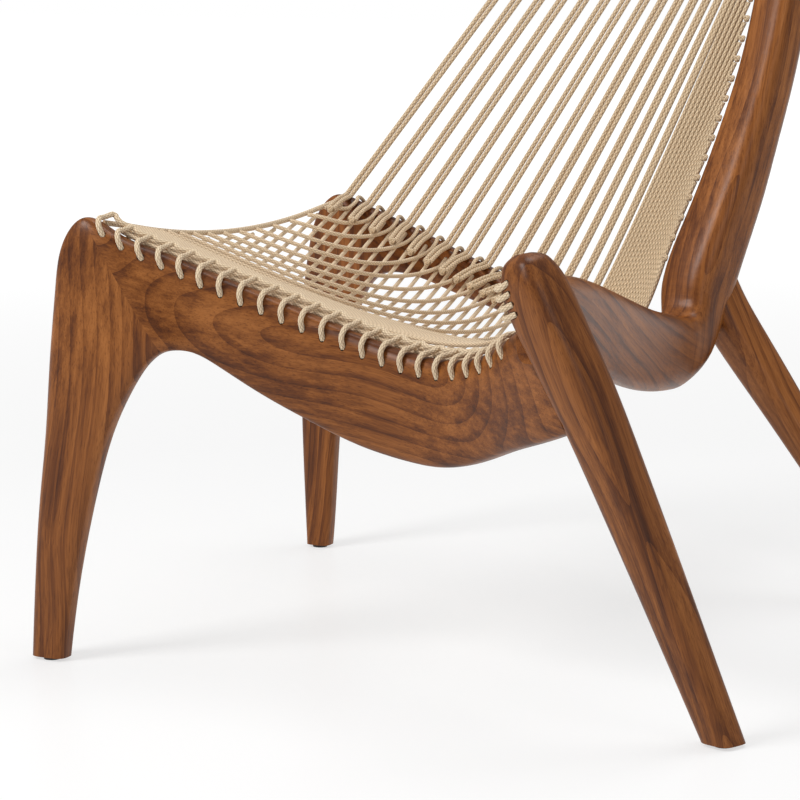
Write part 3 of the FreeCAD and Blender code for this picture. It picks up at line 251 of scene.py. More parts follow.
    "seat_curved_cords_front": """
-289.3,-107.1,382.2 -238.6,-87.6,359.3 -200.7,-59.4,340.9 -175.0,-20.1,326.2 -159.2,31.1,315.9
-152.2,94.5,311.7 -153.3,170.7,315.2 -154.6,196.8,323.7 -154.4,202.2,328.5 -154.6,213.5,329.8
-155.0,221.7,327.9 -155.6,226.4,322.4 -155.7,227.7,313.7 -155.4,222.2,307.4 /
-288.1,-140.4,384.8 -227.8,-117.7,357.3 -184.1,-86.1,335.5 -154.9,-41.9,318.0 -137.5,15.2,306.2
-130.2,85.9,301.5 -132.2,171.4,305.7 -133.4,197.3,314.2 -132.6,202.6,319.1 -131.7,213.9,320.4
-131.4,222.3,318.5 -131.7,227.0,313.0 -132.0,228.2,304.2 -132.5,222.7,298.0 /
-286.9,-171.3,388.0 -216.6,-145.5,355.7 -167.2,-110.8,330.6 -134.8,-62.5,310.9 -115.5,-0.6,297.9
-107.5,76.2,292.7 -110.3,169.6,297.5 -111.8,195.4,306.1 -110.4,200.5,311.1 -108.4,211.7,312.4
-107.2,220.1,310.6 -106.8,224.8,305.0 -106.9,226.1,296.2 -108.0,220.5,290.0 /
-285.8,-199.2,391.4 -205.5,-170.6,354.5 -150.9,-132.9,326.6 -115.0,-81.7,305.1 -93.2,-16.2,290.8
-84.5,65.2,285.2 -88.3,164.9,290.7 -90.1,190.4,299.6 -88.4,195.4,304.6 -85.2,206.4,306.0
-82.9,214.7,304.2 -81.9,219.4,298.6 -81.7,220.6,289.7 -83.0,215.0,283.5 /
-284.9,-223.1,394.8 -194.8,-192.0,353.3 -135.3,-151.9,323.2 -95.6,-98.7,300.0 -71.0,-31.2,284.7
-61.7,52.9,279.0 -66.7,157.0,285.7 -68.9,182.3,294.7 -66.8,187.1,299.8 -62.5,197.9,301.2
-59.4,205.9,299.3 -57.8,210.5,293.8 -57.5,211.6,284.8 -58.9,206.0,278.7 /
-284.3,-239.5,397.3 -184.9,-206.2,351.8 -120.5,-164.7,319.7 -76.5,-111.0,295.2 -49.3,-43.6,279.3
-39.2,40.8,274.2 -45.6,146.8,282.0 -48.2,172.0,291.2 -45.7,176.6,296.3 -40.6,187.0,297.7
-36.8,194.8,295.8 -34.9,199.1,290.2 -34.5,200.2,281.2 -36.4,194.7,275.1 /
""",
    "seat_curved_cords_back": """
-298.3,129.5,385.3 -293.9,130.9,385.8 -290.0,133.4,385.4 -286.8,136.9,384.7 -284.4,141.3,383.9
-282.6,146.6,383.4 -281.5,152.8,383.2 -282.7,176.6,389.5 -285.5,181.1,392.2 -287.4,190.1,392.0
-287.5,196.3,389.8 -286.1,200.6,385.0 -282.6,202.4,377.8 -277.7,197.7,372.9 /
-296.6,86.5,381.8 -284.8,90.6,380.4 -275.1,97.9,376.4 -267.7,107.9,373.0 -262.5,120.8,371.1
-259.3,136.5,370.6 -258.1,155.0,371.6 -260.7,180.9,379.0 -263.5,185.6,382.0 -265.6,195.0,381.8
-265.9,201.5,379.5 -264.7,205.8,374.4 -261.4,207.5,367.1 -256.6,202.8,362.0 /
-295.1,44.7,379.7 -275.6,51.8,374.4 -260.2,63.9,367.0 -248.8,80.5,362.2 -241.0,101.8,359.4
-236.7,127.9,358.8 -235.8,158.9,360.8 -238.7,185.3,368.7 -241.2,190.2,371.9 -243.4,199.9,371.9
-243.9,206.7,369.6 -243.0,211.0,364.4 -240.1,212.8,356.8 -235.8,208.0,351.5 /
-293.5,4.4,378.8 -266.4,14.5,368.8 -245.4,31.2,359.1 -229.9,54.0,352.2 -219.9,83.3,347.9
-214.7,119.4,346.8 -214.3,162.4,349.5 -217.1,189.0,357.7 -219.2,194.1,361.3 -221.2,204.3,361.5
-221.8,211.4,359.3 -221.3,215.8,354.0 -218.9,217.5,346.2 -215.1,212.6,340.5 /
-292.1,-34.5,379.0 -257.4,-21.3,364.5 -230.7,-0.3,352.4 -211.7,28.2,343.0 -199.6,65.1,336.9
-193.6,110.9,334.8 -193.5,165.6,337.8 -195.9,192.2,346.2 -197.5,197.4,350.2 -199.1,208.1,350.8
-199.8,215.5,348.7 -199.6,220.1,343.3 -198.0,221.7,335.2 -195.0,216.6,329.2 /
-290.7,-71.7,380.2 -248.3,-55.4,361.5 -216.2,-30.6,346.6 -193.8,3.3,334.6 -179.8,47.7,326.3
-173.1,102.7,323.0 -173.5,168.5,326.1 -175.2,194.9,334.6 -175.9,200.2,339.1 -177.0,211.3,340.1
-177.7,219.2,338.1 -178.0,223.8,332.6 -177.3,225.3,324.2 -175.6,220.0,317.9 /
""",
    "seat_diagonal_cords": """
-267.5,-330.1,398.5 -273.1,-319.1,398.8 -276.7,-306.4,398.2 -280.4,-293.5,397.6
-284.1,-280.6,396.9 -287.8,-267.6,396.0 /
-257.8,-327.3,393.1 -265.9,-308.3,392.4 -271.7,-287.6,391.2 -277.5,-266.7,390.5
-283.5,-245.7,390.0 -289.4,-224.4,389.0 /
-247.8,-324.3,388.7 -258.4,-296.7,386.6 -266.5,-267.5,384.6 -274.6,-238.2,383.8
-282.9,-208.6,383.6 -291.2,-178.6,382.8 /
-237.6,-321.2,385.0 -250.6,-284.8,381.5 -261.2,-246.7,378.6 -271.8,-208.5,377.6
-282.3,-170.0,378.1 -293.0,-130.9,378.0 /
-227.3,-318.5,381.4 -242.8,-272.8,376.8 -255.9,-225.7,373.1 -268.9,-178.4,372.3
-281.8,-130.8,373.7 -294.8,-82.4,374.7 /
-217.1,-316.2,377.6 -234.8,-261.0,372.2 -250.6,-204.5,368.1 -266.1,-148.0,367.6 -281.4,-91.2,370.5
-296.6,-33.6,373.0 /
-206.8,-314.2,373.7 -226.8,-249.3,367.5 -245.3,-183.2,363.5 -263.3,-117.3,363.7 -280.9,-51.0,368.5
-298.5,16.1,373.0 /
-196.6,-312.4,369.6 -218.8,-237.5,362.6 -240.0,-161.4,359.0 -260.5,-85.8,360.4 -280.6,-9.8,367.6
-300.5,67.1,374.7 /
-186.3,-310.7,365.6 -210.7,-225.4,357.5 -234.5,-139.0,354.5 -257.6,-53.1,357.7 -280.2,33.0,368.1
-302.5,120.1,378.4 /
-175.9,-309.0,361.7 -202.2,-214.1,352.3 -228.3,-117.8,350.1 -253.9,-22.3,355.4 -278.7,73.4,369.1
-299.0,170.7,384.8 /
-165.4,-307.2,357.9 -190.8,-212.2,347.7 -216.6,-115.7,345.1 -242.2,-19.7,350.4 -267.0,76.0,363.4
-288.1,172.6,383.9 /
-154.8,-305.3,354.1 -179.5,-210.3,343.0 -204.8,-113.6,339.8 -230.2,-17.2,345.1 -255.1,78.6,357.9
-276.2,174.8,378.8 /
-144.2,-303.5,350.4 -168.3,-208.3,338.5 -193.0,-111.6,334.6 -218.1,-15.0,339.6 -243.0,81.2,352.4
-264.1,177.3,372.8 /
-133.4,-301.9,346.6 -157.2,-206.5,334.1 -181.4,-109.7,329.4 -206.2,-13.0,333.9 -231.0,83.6,346.7
-252.3,179.9,366.9 /
-122.6,-300.4,342.8 -146.3,-204.8,329.7 -170.1,-107.8,324.2 -194.5,-11.0,328.2 -219.1,85.7,340.9
-240.7,182.4,361.1 /
-111.8,-299.2,338.9 -135.5,-203.3,325.4 -159.0,-106.0,319.2 -183.0,-9.1,322.5 -207.5,87.7,334.9
-229.3,184.8,355.2 /
-101.0,-298.1,335.0 -124.8,-202.0,321.2 -148.2,-104.5,314.4 -171.8,-7.3,316.9 -196.0,89.6,328.8
-218.1,187.0,349.0 /
-90.1,-297.2,331.2 -114.3,-201.0,317.2 -137.6,-103.1,309.8 -160.8,-5.6,311.4 -184.6,91.5,322.6
-206.9,189.0,342.5 /
-79.2,-296.5,327.5 -103.7,-200.2,313.3 -127.3,-102.1,305.5 -150.3,-4.2,306.3 -173.5,93.2,316.5
-195.9,191.0,335.9 /
-68.2,-295.9,323.9 -93.2,-199.6,309.5 -117.0,-101.3,301.4 -140.0,-3.1,301.6 -162.8,94.7,310.7
-185.1,192.9,329.2 /
-57.2,-295.6,320.3 -82.6,-199.2,305.9 -106.8,-100.8,297.5 -130.0,-2.3,297.2 -152.5,95.9,305.5
-174.7,194.6,322.7 /
-46.2,-295.4,316.9 -72.1,-199.1,302.4 -96.7,-100.6,293.9 -120.2,-1.9,293.2 -142.7,96.7,300.8
-164.8,196.1,316.8 /
-35.0,-295.5,313.5 -61.5,-199.3,299.0 -86.5,-100.7,290.4 -110.4,-1.7,289.5 -133.1,97.2,296.6
-155.3,197.1,311.7 /
-23.8,-295.9,310.3 -50.9,-199.7,295.8 -76.4,-101.1,287.1 -100.6,-2.0,286.0 -123.7,97.3,292.8
-146.0,197.8,307.2 /
-12.5,-296.5,307.2 -40.3,-200.5,292.7 -66.3,-101.8,284.0 -90.9,-2.5,282.7 -114.4,97.0,289.2
-136.9,198.0,303.2 /
-1.2,-297.6,304.5 -29.7,-201.6,289.8 -56.2,-102.9,281.0 -81.3,-3.5,279.6 -105.1,96.3,285.9
-127.9,197.8,299.6 /
10.3,-299.0,302.1 -19.1,-203.0,287.1 -46.2,-104.4,278.2 -71.7,-4.9,276.8 -95.8,95.2,282.9
-118.8,197.1,296.3 /
21.7,-300.9,300.4 -8.5,-204.8,284.8 -36.2,-106.2,275.7 -62.2,-6.6,274.2 -86.7,93.7,280.1
-109.9,195.9,293.2 /
33.2,-303.3,299.1 2.2,-206.9,282.9 -26.2,-108.4,273.4 -52.8,-8.8,271.8 -77.7,91.6,277.6
-101.1,194.2,290.5 /
44.7,-306.1,298.5 13.0,-209.5,281.4 -16.2,-110.9,271.5 -43.3,-11.3,269.6 -68.7,89.2,275.3
-92.3,192.0,288.0 /
""",
    "back_strings_left": """
107.4,426.6,1030.6 -301.3,193.9,397.7 -295.7,171.8,394.8 -291.3,145.0,394.4 -285.8,112.3,386.8 /
111.8,427.0,1027.6 -297.0,194.3,394.7 -290.7,172.8,393.4 -286.3,146.1,393.0 -280.8,113.4,385.4 /
109.7,414.1,1004.2 -278.6,197.9,387.9 -273.1,177.1,385.9 -268.3,150.0,384.7 -262.4,116.9,376.1 /
114.0,414.9,1001.2 -274.3,198.7,384.9 -268.4,178.2,383.7 -263.6,151.2,382.5 -257.8,118.1,373.9 /
112.7,402.2,977.8 -256.7,202.9,378.1 -251.5,181.9,376.1 -246.4,154.7,374.6 -240.2,121.4,365.6 /
117.0,403.0,974.9 -252.4,203.7,375.1 -246.8,183.2,374.0 -241.7,155.9,372.5 -235.5,122.7,363.5 /
116.0,390.3,951.5 -234.6,207.5,368.2 -229.9,186.5,366.1 -225.0,159.1,364.2 -218.9,125.6,354.9 /
120.4,391.0,948.6 -230.2,208.2,365.3 -225.3,187.7,363.9 -220.3,160.3,362.1 -214.2,126.8,352.7 /
119.4,378.4,925.2 -212.4,211.4,357.8 -208.7,190.5,355.4 -204.4,162.8,353.6 -199.1,129.0,344.2 /
123.8,379.1,922.4 -208.0,212.1,355.0 -204.0,191.6,353.2 -199.7,164.0,351.3 -194.4,130.1,342.0 /
122.5,366.6,898.9 -190.3,214.9,347.2 -187.7,194.1,344.5 -184.7,166.2,343.0 -181.0,132.0,334.0 /
127.0,367.2,896.2 -185.8,215.5,344.5 -183.0,195.0,342.2 -180.0,167.1,340.7 -176.3,132.9,331.7 /
125.3,354.7,872.6 -167.9,217.7,336.8 -166.8,197.2,333.8 -165.7,169.0,332.9 -164.3,134.6,324.7 /
129.9,355.2,870.0 -163.3,218.1,334.2 -162.1,197.7,331.6 -160.9,169.5,330.7 -159.6,135.1,322.5 /
""",
    "back_strings_middle": """
127.7,343.0,846.2 -145.0,219.3,326.9 -145.7,199.0,324.0 -147.0,170.9,323.9 -148.6,136.4,316.7 /
132.4,343.0,843.7 -140.3,219.3,324.4 -140.8,199.1,321.9 -142.1,170.9,321.8 -143.7,136.4,314.6 /
129.8,331.3,819.8 -121.5,218.7,318.1 -124.1,198.8,315.3 -128.2,170.8,316.0 -133.1,136.6,309.7 /
134.6,330.8,817.5 -116.7,218.2,315.9 -119.2,198.3,313.6 -123.2,170.3,314.2 -128.1,136.1,308.0 /
131.7,319.7,793.2 -97.6,215.3,310.8 -102.4,195.8,308.0 -109.1,168.3,309.2 -117.4,134.7,303.4 /
136.5,318.5,791.3 -92.9,214.1,308.8 -97.4,194.7,306.6 -104.2,167.2,307.8 -112.4,133.6,302.0 /
133.4,308.1,766.7 -74.1,208.6,305.1 -80.8,189.5,302.3 -90.1,162.7,303.4 -101.5,130.0,297.7 /
138.0,306.2,765.0 -69.5,206.6,303.4 -75.9,187.9,301.3 -85.2,161.1,302.4 -96.5,128.4,296.6 /
134.8,296.4,740.2 -51.3,198.8,300.8 -59.7,180.4,298.1 -71.2,154.4,298.8 -85.2,122.8,292.6 /
139.2,293.9,738.8 -46.8,196.3,299.5 -54.9,178.3,297.4 -66.4,152.4,298.1 -80.4,120.7,291.8 /
135.8,284.4,713.7 -29.3,187.1,297.6 -39.0,169.3,295.0 -52.4,144.3,295.1 -68.7,113.7,288.1 /
140.2,281.6,712.6 -24.9,184.3,296.6 -34.3,166.9,294.4 -47.7,141.9,294.6 -64.0,111.3,287.6 /
136.5,272.2,687.3 -7.9,174.2,295.3 -18.7,157.0,292.6 -33.6,132.9,292.2 -51.8,103.5,284.5 /
140.8,269.3,686.4 -3.6,171.2,294.4 -14.1,154.3,292.2 -29.1,130.2,291.8 -47.3,100.7,284.1 /
""",
    "back_strings_right": """
138.9,261.4,666.8 6.9,164.4,293.8 -4.3,147.6,291.3 -9.3,140.2,291.5 -15.5,131.2,284.7 /
138.9,252.1,646.7 11.3,161.4,293.4 -0.0,144.7,291.0 -5.1,137.4,291.2 -11.4,128.4,284.3 /
138.6,242.8,626.6 15.7,158.3,293.1 4.2,141.8,290.7 -1.0,134.5,290.9 -7.3,125.6,284.0 /
138.0,233.6,606.4 20.1,155.2,292.8 8.4,138.8,290.4 3.2,131.6,290.5 -3.3,122.7,283.6 /
137.2,224.6,586.3 24.5,152.1,292.6 12.6,135.8,290.1 7.3,128.6,290.2 0.8,119.9,283.3 /
135.9,215.4,566.2 28.8,149.0,292.3 16.8,132.8,289.8 11.4,125.7,290.0 4.9,116.9,283.1 /
134.3,206.1,546.2 33.1,145.8,292.1 21.0,129.7,289.5 15.6,122.6,289.7 8.9,114.0,282.8 /
132.1,196.5,526.5 37.4,142.7,291.8 25.2,126.6,289.2 19.7,119.6,289.5 13.0,111.0,282.6 /
129.4,186.6,506.9 41.7,139.5,291.6 29.3,123.5,289.0 23.8,116.5,289.2 17.0,108.0,282.4 /
126.3,176.7,487.4 45.9,136.2,291.4 33.4,120.4,288.8 27.9,113.4,289.0 21.1,104.9,282.2 /
122.8,166.9,467.9 50.2,133.0,291.2 37.6,117.2,288.5 32.0,110.3,288.8 25.1,101.9,282.0 /
118.8,157.5,448.3 54.4,129.7,291.0 41.7,114.0,288.3 36.0,107.1,288.6 29.1,98.8,281.8 /
114.4,148.6,428.5 58.6,126.4,290.8 45.8,110.8,288.1 40.1,104.0,288.4 33.2,95.6,281.7 /
109.4,140.0,408.7 62.7,123.1,290.7 49.9,107.5,287.9 44.2,100.7,288.3 37.2,92.5,281.6 /
104.2,131.4,389.1 66.9,119.7,290.5 54.0,104.3,287.7 48.2,97.5,288.1 41.2,89.3,281.5 /
99.0,122.5,369.4 71.1,116.4,290.3 58.0,101.0,287.5 52.2,94.3,288.0 45.2,86.1,281.4 /
94.3,114.2,349.2 75.2,113.0,290.2 62.1,97.7,287.4 56.3,91.0,287.8 49.2,82.8,281.3 /
""",
}
KNOTS = """
111.8,428.1,1032.5 114.0,415.7,1006.2 117.1,403.7,979.8 120.4,391.8,953.6 123.7,379.8,927.4
126.8,367.9,901.2 129.6,355.9,875.0 132.0,343.9,848.7 134.1,331.9,822.4 135.9,319.9,796.1
137.4,308.0,769.7 138.6,296.0,743.4 139.5,283.9,717.0 140.1,271.7,690.8 140.3,262.4,670.7
140.3,253.1,650.6 140.0,243.8,630.5 139.5,234.6,610.3 138.7,225.5,590.2 137.5,216.4,570.1
135.8,207.0,550.1 133.7,197.4,530.4 131.0,187.5,510.8 127.9,177.5,491.3 124.4,167.7,471.8
120.4,158.2,452.2 116.0,149.2,432.5 111.0,140.6,412.7 105.7,131.9,393.1 100.4,122.8,373.5
95.7,114.3,353.3
"""


def points_of(text):
    """Points in metres, from a text that names them in millimetres."""
    return [[float(number) * MM for number in word.split(",")] for word in text.split()]


def routes_of(name):
    """The routes of one node's cords."""
    return [points_of(text) for text in ROUTES[name].split("/")[:-1]]


# Shader helpers.


def put(tree, socket, value):
    """Sets a socket to a number or a colour, or links it to another socket."""
    if isinstance(value, bpy.types.NodeSocket):
        tree.links.new(value, socket)
    elif socket.type == "RGBA":
        socket.default_value = (*value, 1.0)
    else:
        socket.default_value = value


def put_all(tree, node, inputs):
    """Sets or links several of a node's inputs."""
    for socket, value in inputs.items():
        put(tree, node.inputs[socket], value)


def node_of(tree, kind, inputs, **settings):
    """A new node of a kind, with its settings and its inputs."""
    node = tree.nodes.new("ShaderNode" + kind)
    for setting, value in settings.items():
        setattr(node, setting, value)
    put_all(tree, node, inputs)
    return node


def material(name):
    """A new node material, its tree and its surface shader."""
    made = bpy.data.materials.new(name)
    made.use_nodes = True
    tree = made.node_tree
    tree.nodes.clear()
    output = tree.nodes.new("ShaderNodeOutputMaterial")
    shader = tree.nodes.new("ShaderNodeBsdfPrincipled")
    put(tree, output.inputs["Surface"], shader.outputs["BSDF"])
    return made, tree, shader


def place_in(tree):
    """The place on the piece, from its own origin."""
    return tree.nodes.new("ShaderNodeTexCoord").outputs["Object"]


def maths(tree, operation, *values, clamp=False):
    """The result of one sum."""
    node = node_of(tree, "Math", dict(enumerate(values)), operation=operation, use_clamp=clamp)
    return node.outputs[0]


def noise(tree, vector, scale, detail=3.0, roughness=0.55):
    """Noise between zero and one."""
    inputs = {"Vector": vector, "Scale": scale, "Detail": detail, "Roughness": roughness}
    return node_of(tree, "TexNoise", inputs).outputs["Fac"]


def scaled(tree, vector, factors):
    """A vector with each part multiplied by its own factor."""
    return node_of(tree, "VectorMath", {0: vector, 1: factors}, operation="MULTIPLY").outputs[0]


def map_range(tree, value, start, end, low=0.0, high=1.0):
    """Moves a value from one range to another."""
    inputs = {"Value": value, "From Min": start, "From Max": end, "To Min": low, "To Max": high}
    return node_of(tree, "MapRange", inputs).outputs[0]


def ramp(tree, factor, stops):
    """A colour from a scale of colours."""
    node = node_of(tree, "ValToRGB", {0: factor})
    elements = node.color_ramp.elements
    while len(elements) < len(stops):
        elements.new(0.5)
    for element, (place, colour) in zip(elements, stops):
        element.position = place
        element.color = (*colour, 1.0)
    return node.outputs["Color"]


def mixed(tree, kind, factor, first, second):
    """A mix of two colours. The node's sockets have equal names, so it takes them by number."""
    inputs = {0: factor, 6: first, 7: second}
    return node_of(tree, "Mix", inputs, data_type="RGBA", blend_type=kind).outputs[2]


def bumped(tree, shader, height, strength, distance):
    """Makes a shader's surface follow a height."""
    inputs = {"Strength": strength, "Distance": distance, "Height": height}
    put(tree, shader.inputs["Normal"], node_of(tree, "Bump", inputs).outputs["Normal"])


def srgb(red, green, blue):
    """A colour as it looks on a screen, as the linear numbers that a shader takes."""
    return tuple(((c / 255 + 0.055) / 1.055) ** 2.4 for c in (red, green, blue))


# Materials.


def grained(tree, place, grain, pith):
    """The figure, the fibres and the pores of walnut whose grain runs along a direction."""
    turn = Vector(grain).normalized().rotation_difference(Vector((1, 0, 0))).to_euler()
    inputs = {"Rotation": turn, "Location": pith, "Vector": place}
    turned = node_of(tree, "Mapping", inputs, vector_type="POINT").outputs["Vector"]
    stretched = scaled(tree, turned, (SWAY_STRETCH, 1.0, 1.0))
    inputs = {"Vector": stretched, "Scale": SWAY_SCALE, "Detail": 1.0}
    sway = node_of(tree, "TexNoise", inputs).outputs["Color"]
    inputs = {0: turned, 1: scaled(tree, sway, (0.0, SWAY_REACH, SWAY_REACH))}
    along = node_of(tree, "VectorMath", inputs, operation="ADD").outputs[0]
    inputs = {
        "Vector": scaled(tree, along, (RING_STRETCH, 1.0, 1.0)), "Scale": RING_SCALE,
        "Distortion": RING_DISTORTION, "Detail": 2.0, "Detail Scale": 0.5,
    }
    rings = node_of(
        tree, "TexWave", inputs, wave_type="RINGS", rings_direction="X", wave_profile="SAW"
    )
    late = maths(tree, "POWER", rings.outputs["Fac"], RING_SHARPNESS)
    broad, streaks, fibre, pores = (
        noise(tree, scaled(tree, along, (stretch, 1.0, 1.0)), scale, detail, roughness)
        for stretch, scale, detail, roughness in GRAIN_LAYERS.values()
    )
    figure = maths(tree, "MULTIPLY", late, LATE_SHARE)
    figure = maths(tree, "MULTIPLY_ADD", broad, BROAD_SHARE, figure)
    figure = maths(tree, "MULTIPLY_ADD", streaks, STREAK_SHARE, figure)
    figure = maths(tree, "MULTIPLY_ADD", fibre, FIBRE_SHARE, figure)
    return figure, fibre, pores


def walnut(name, grain, pith, tone, second_grain):
    """Oiled walnut with its rings round a line off the piece. A second grain may follow the elbow."""
    made, tree, shader = material(name)
    place = place_in(tree)
    layers = grained(tree, place, grain, pith)
    if second_grain:
        depth = node_of(tree, "SeparateXYZ", {0: place}).outputs["Y"]
        past = map_range(tree, depth, ELBOW_START, ELBOW_END)
        layers = [
            maths(tree, "MULTIPLY_ADD", past, maths(tree, "SUBTRACT", second, first), first)
            for first, second in zip(layers, grained(tree, place, second_grain, pith))
        ]
    figure, fibre, pores = layers
    stops = [(stop, [c * tone for c in srgb(*colour)]) for stop, colour in WALNUT_COLOURS]
    colour = ramp(tree, figure, stops)
    put_all(tree, shader, {
        "Base Color": mixed(tree, "MULTIPLY", PORE_FACTOR, colour, ramp(tree, pores, PORE_STOPS)),
        "Roughness": maths(tree, "MULTIPLY_ADD", fibre, FIBRE_ROUGHNESS, WOOD_ROUGHNESS),
        "Specular IOR Level": 0.26,
    })
    height = maths(tree, "MULTIPLY_ADD", pores, PORE_HEIGHT, fibre)
    bumped(tree, shader, height, WOOD_BUMP, WOOD_BUMP_REACH)
    return made


def braid(name, pale, groove_shade, cell, strands):
    """Braided cord: two families of strands that cross, from the UV map's length and turn, with
    painted shade darkening the grooves.
    """
    made, tree, shader = material(name)
    uv = node_of(tree, "UVMap", {}, uv_map="braid").outputs[0]
    parts = node_of(tree, "SeparateXYZ", {0: uv})
    length = maths(tree, "DIVIDE", parts.outputs[0], cell)
    turn = maths(tree, "MULTIPLY", parts.outputs[1], float(strands))
    waves = [
        maths(tree, "SINE", maths(tree, "MULTIPLY", maths(tree, way, length, turn), math.pi))
        for way in ("ADD", "SUBTRACT")
    ]
    crossing = maths(tree, "ABSOLUTE", maths(tree, "MULTIPLY", *waves))
    height = maths(tree, "POWER", crossing, 0.5)
    place = place_in(tree)
    patches = noise(tree, place, PATCH_SCALE, 2.0)
    fuzz = noise(tree, place, FUZZ_SCALE, 2.0, 0.7)
    tone = maths(tree, "MULTIPLY_ADD", patches, 0.5, maths(tree, "MULTIPLY", fuzz, 0.5))
    yarn = mixed(tree, "MIX", tone, srgb(*[c * PATCH_SHADE for c in pale]), srgb(*pale))
    # Painted shade: where the braid's height is low, in its grooves, the yarn is mixed toward the
    # dark shade colour.
    grooves = maths(tree, "MULTIPLY_ADD", height, GROOVE_SHADE_SLOPE, GROOVE_SHADE_FLOOR, clamp=True)
    put_all(tree, shader, {
        "Base Color": mixed(tree, "MIX", grooves, srgb(*groove_shade), yarn),
        "Roughness": 0.82,
        "Specular IOR Level": 0.25,
        "Sheen Weight": 0.15,
        "Sheen Roughness": 0.5,
    })
    height = maths(tree, "MULTIPLY_ADD", fuzz, FUZZ_HEIGHT, height)
    bumped(tree, shader, height, YARN_BUMP, YARN_BUMP_REACH)
    return made


def mottled(name, stretch, scale, first, second, roughness):
    """A plain material whose colour wavers between two colours."""
    made, tree, shader = material(name)
    waver = noise(tree, scaled(tree, place_in(tree), (1.0, 1.0, stretch)), scale)
    put_all(tree, shader, {
        "Base Color": ramp(tree, waver, ((0.3, srgb(*first)), (0.7, srgb(*second)))),
        "Roughness": roughness,
    })
    return made


# Cord meshes.


def smooth_line(points):
    """Points read along the smooth curve that a route's points control."""
    curve = bpy.data.curves.new("route", "CURVE")
    curve.dimensions = "3D"
    curve.resolution_u = CURVE_RESOLUTION
    spline = curve.splines.new("NURBS")
    spline.points.add(len(points) - 1)
    for point, place in zip(spline.points, points):
        point.co = (*place, 1.0)
    spline.order_u = 3
    spline.use_endpoint_u = True
    holder = bpy.data.objects.new("route", curve)
    mesh = bpy.data.meshes.new_from_object(holder)
    line = np.zeros(len(mesh.vertices) * 3)
    mesh.vertices.foreach_get("co", line)
    bpy.data.objects.remove(holder)
    bpy.data.curves.remove(curve)
    bpy.data.meshes.remove(mesh)
    return line.reshape(-1, 3)


def evened(line, step):
    """The same line with its points evenly spaced, and how far along each one is."""
    lengths = np.concatenate([[0], np.cumsum(np.linalg.norm(np.diff(line, axis=0), axis=1))])
    marks = np.linspace(0, lengths[-1], max(3, int(round(lengths[-1] / step)) + 1))
    return np.stack([np.interp(marks, lengths, line[:, axis]) for axis in range(3)], axis=1), marks


def tube_rings(line):
    """A steady pair of directions square to a line, at each of its points."""
    along = np.gradient(line, axis=0)
    along /= np.linalg.norm(along, axis=1)[:, None]
    off_line = (0.3, 0.2, 0.9)
    first = np.cross(along[0], off_line)
    sides = [first / np.linalg.norm(first)]
    for direction in along[1:]:
        side = sides[-1] - direction * sides[-1].dot(direction)
        sides.append(side / np.linalg.norm(side))
    sides = np.array(sides)
    return sides, np.cross(along, sides)


def tube(line, marks, radius, around, relief, cell, strands):
    """A cord's skin: its points, faces and UVs. Relief is how deep the braid's grooves are."""
    side, other = tube_rings(line)
    turns = np.arange(around) / around
    cosines, sines = np.cos(2 * np.pi * turns), np.sin(2 * np.pi * turns)
    cells = marks[:, None] / cell
    waves = np.sin(np.pi * (cells + strands * turns)) * np.sin(np.pi * (cells - strands * turns))
    radii = radius - relief * (1 - np.sqrt(np.abs(waves)))
    points = (
        line[:, None, :]
        + side[:, None, :] * (radii * cosines)[:, :, None]
        + other[:, None, :] * (radii * sines)[:, :, None]
    )
    rows, column = np.arange(len(line) - 1)[:, None], np.arange(around)[None, :]
    after = (column + 1) % around
    faces = np.stack([
        rows * around + column, rows * around + after,
        (rows + 1) * around + after, (rows + 1) * around + column,
    ], axis=2).reshape(-1, 4)
    shape = (len(line) - 1, around)
    low, high = (np.broadcast_to(ends[:, None], shape) for ends in (marks[:-1], marks[1:]))
    left = np.broadcast_to(turns[None, :], shape)
    right = left + 1 / around
    uvs = np.stack([low, left, low, right, high, right, high, left], axis=2).reshape(-1, 2)
    return points.reshape(-1, 3), faces, uvs


def cords(name, routes, kind, radius, step, around, relief=0.0):
    """One mesh of braided cords, closed at both ends."""
    cell, strands = CORD_KINDS[kind][3:]
    all_points, all_faces, all_uvs, base = [], [], [], 0
    for route in routes:
        line, marks = evened(smooth_line(route), step)
        points, faces, uvs = tube(line, marks, radius, around, relief, cell, strands)
        last = len(points) - around
        all_points.append(points)
        all_faces += (faces + base).tolist()
        all_faces.append([base + i for i in reversed(range(around))])
        all_faces.append([base + last + i for i in range(around)])
        all_uvs += [uvs, np.zeros((2 * around, 2))]
        base += len(points)
    mesh = bpy.data.meshes.new(name)
    mesh.from_pydata(np.concatenate(all_points).tolist(), [], all_faces)
    layer = mesh.uv_layers.new(name="braid")
    layer.data.foreach_set("uv", np.concatenate(all_uvs).ravel())
    mesh.shade_smooth()
    mesh.materials.append(braids[kind])
    piece = bpy.data.objects.new(name, mesh)
    bpy.context.scene.collection.objects.link(piece)
    return piece


def knot(centre, radius):
    """A small overhand knot, as the closed path of its cord."""
    turns = np.linspace(0, 2 * np.pi, KNOT_POINTS + 1)[:-1]
    shape = np.stack([
        np.sin(turns) + 2 * np.sin(2 * turns),
        -KNOT_DEPTH * np.sin(3 * turns),
        np.cos(turns) - 2 * np.cos(2 * turns),
    ], axis=1)
    return (np.array(centre) + shape * (radius * KNOT_SHARE)).tolist()


def hitches(loops):
    """The lacing cord between two loops: it dips toward the wood and comes up to the next loop."""
    runs = []
    for loop, after in zip(loops, loops[1:]):
        start, end = np.array(loop[0]), np.array(after[0])
        to_wood = np.array(loop[1]) - start
        to_wood[2] = 0.0
        to_wood /= np.linalg.norm(to_wood)
        runs.append([
            (start + (end - start) * share + to_wood * aside * MM + (0, 0, rise * MM)).tolist()
            for share, aside, rise in HITCH
        ])
    return runs


# The frame's own pieces: the wood, the dowels and the glides.
for node, (grain, pith, tone) in WOOD.items():
    second_grain = POST_GRAIN if node == "side_board_and_back_post" else None
    surface = walnut(f"walnut_{node}", grain, pith, tone, second_grain)
    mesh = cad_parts[node].data
    mesh.materials.clear()
    mesh.materials.append(surface)

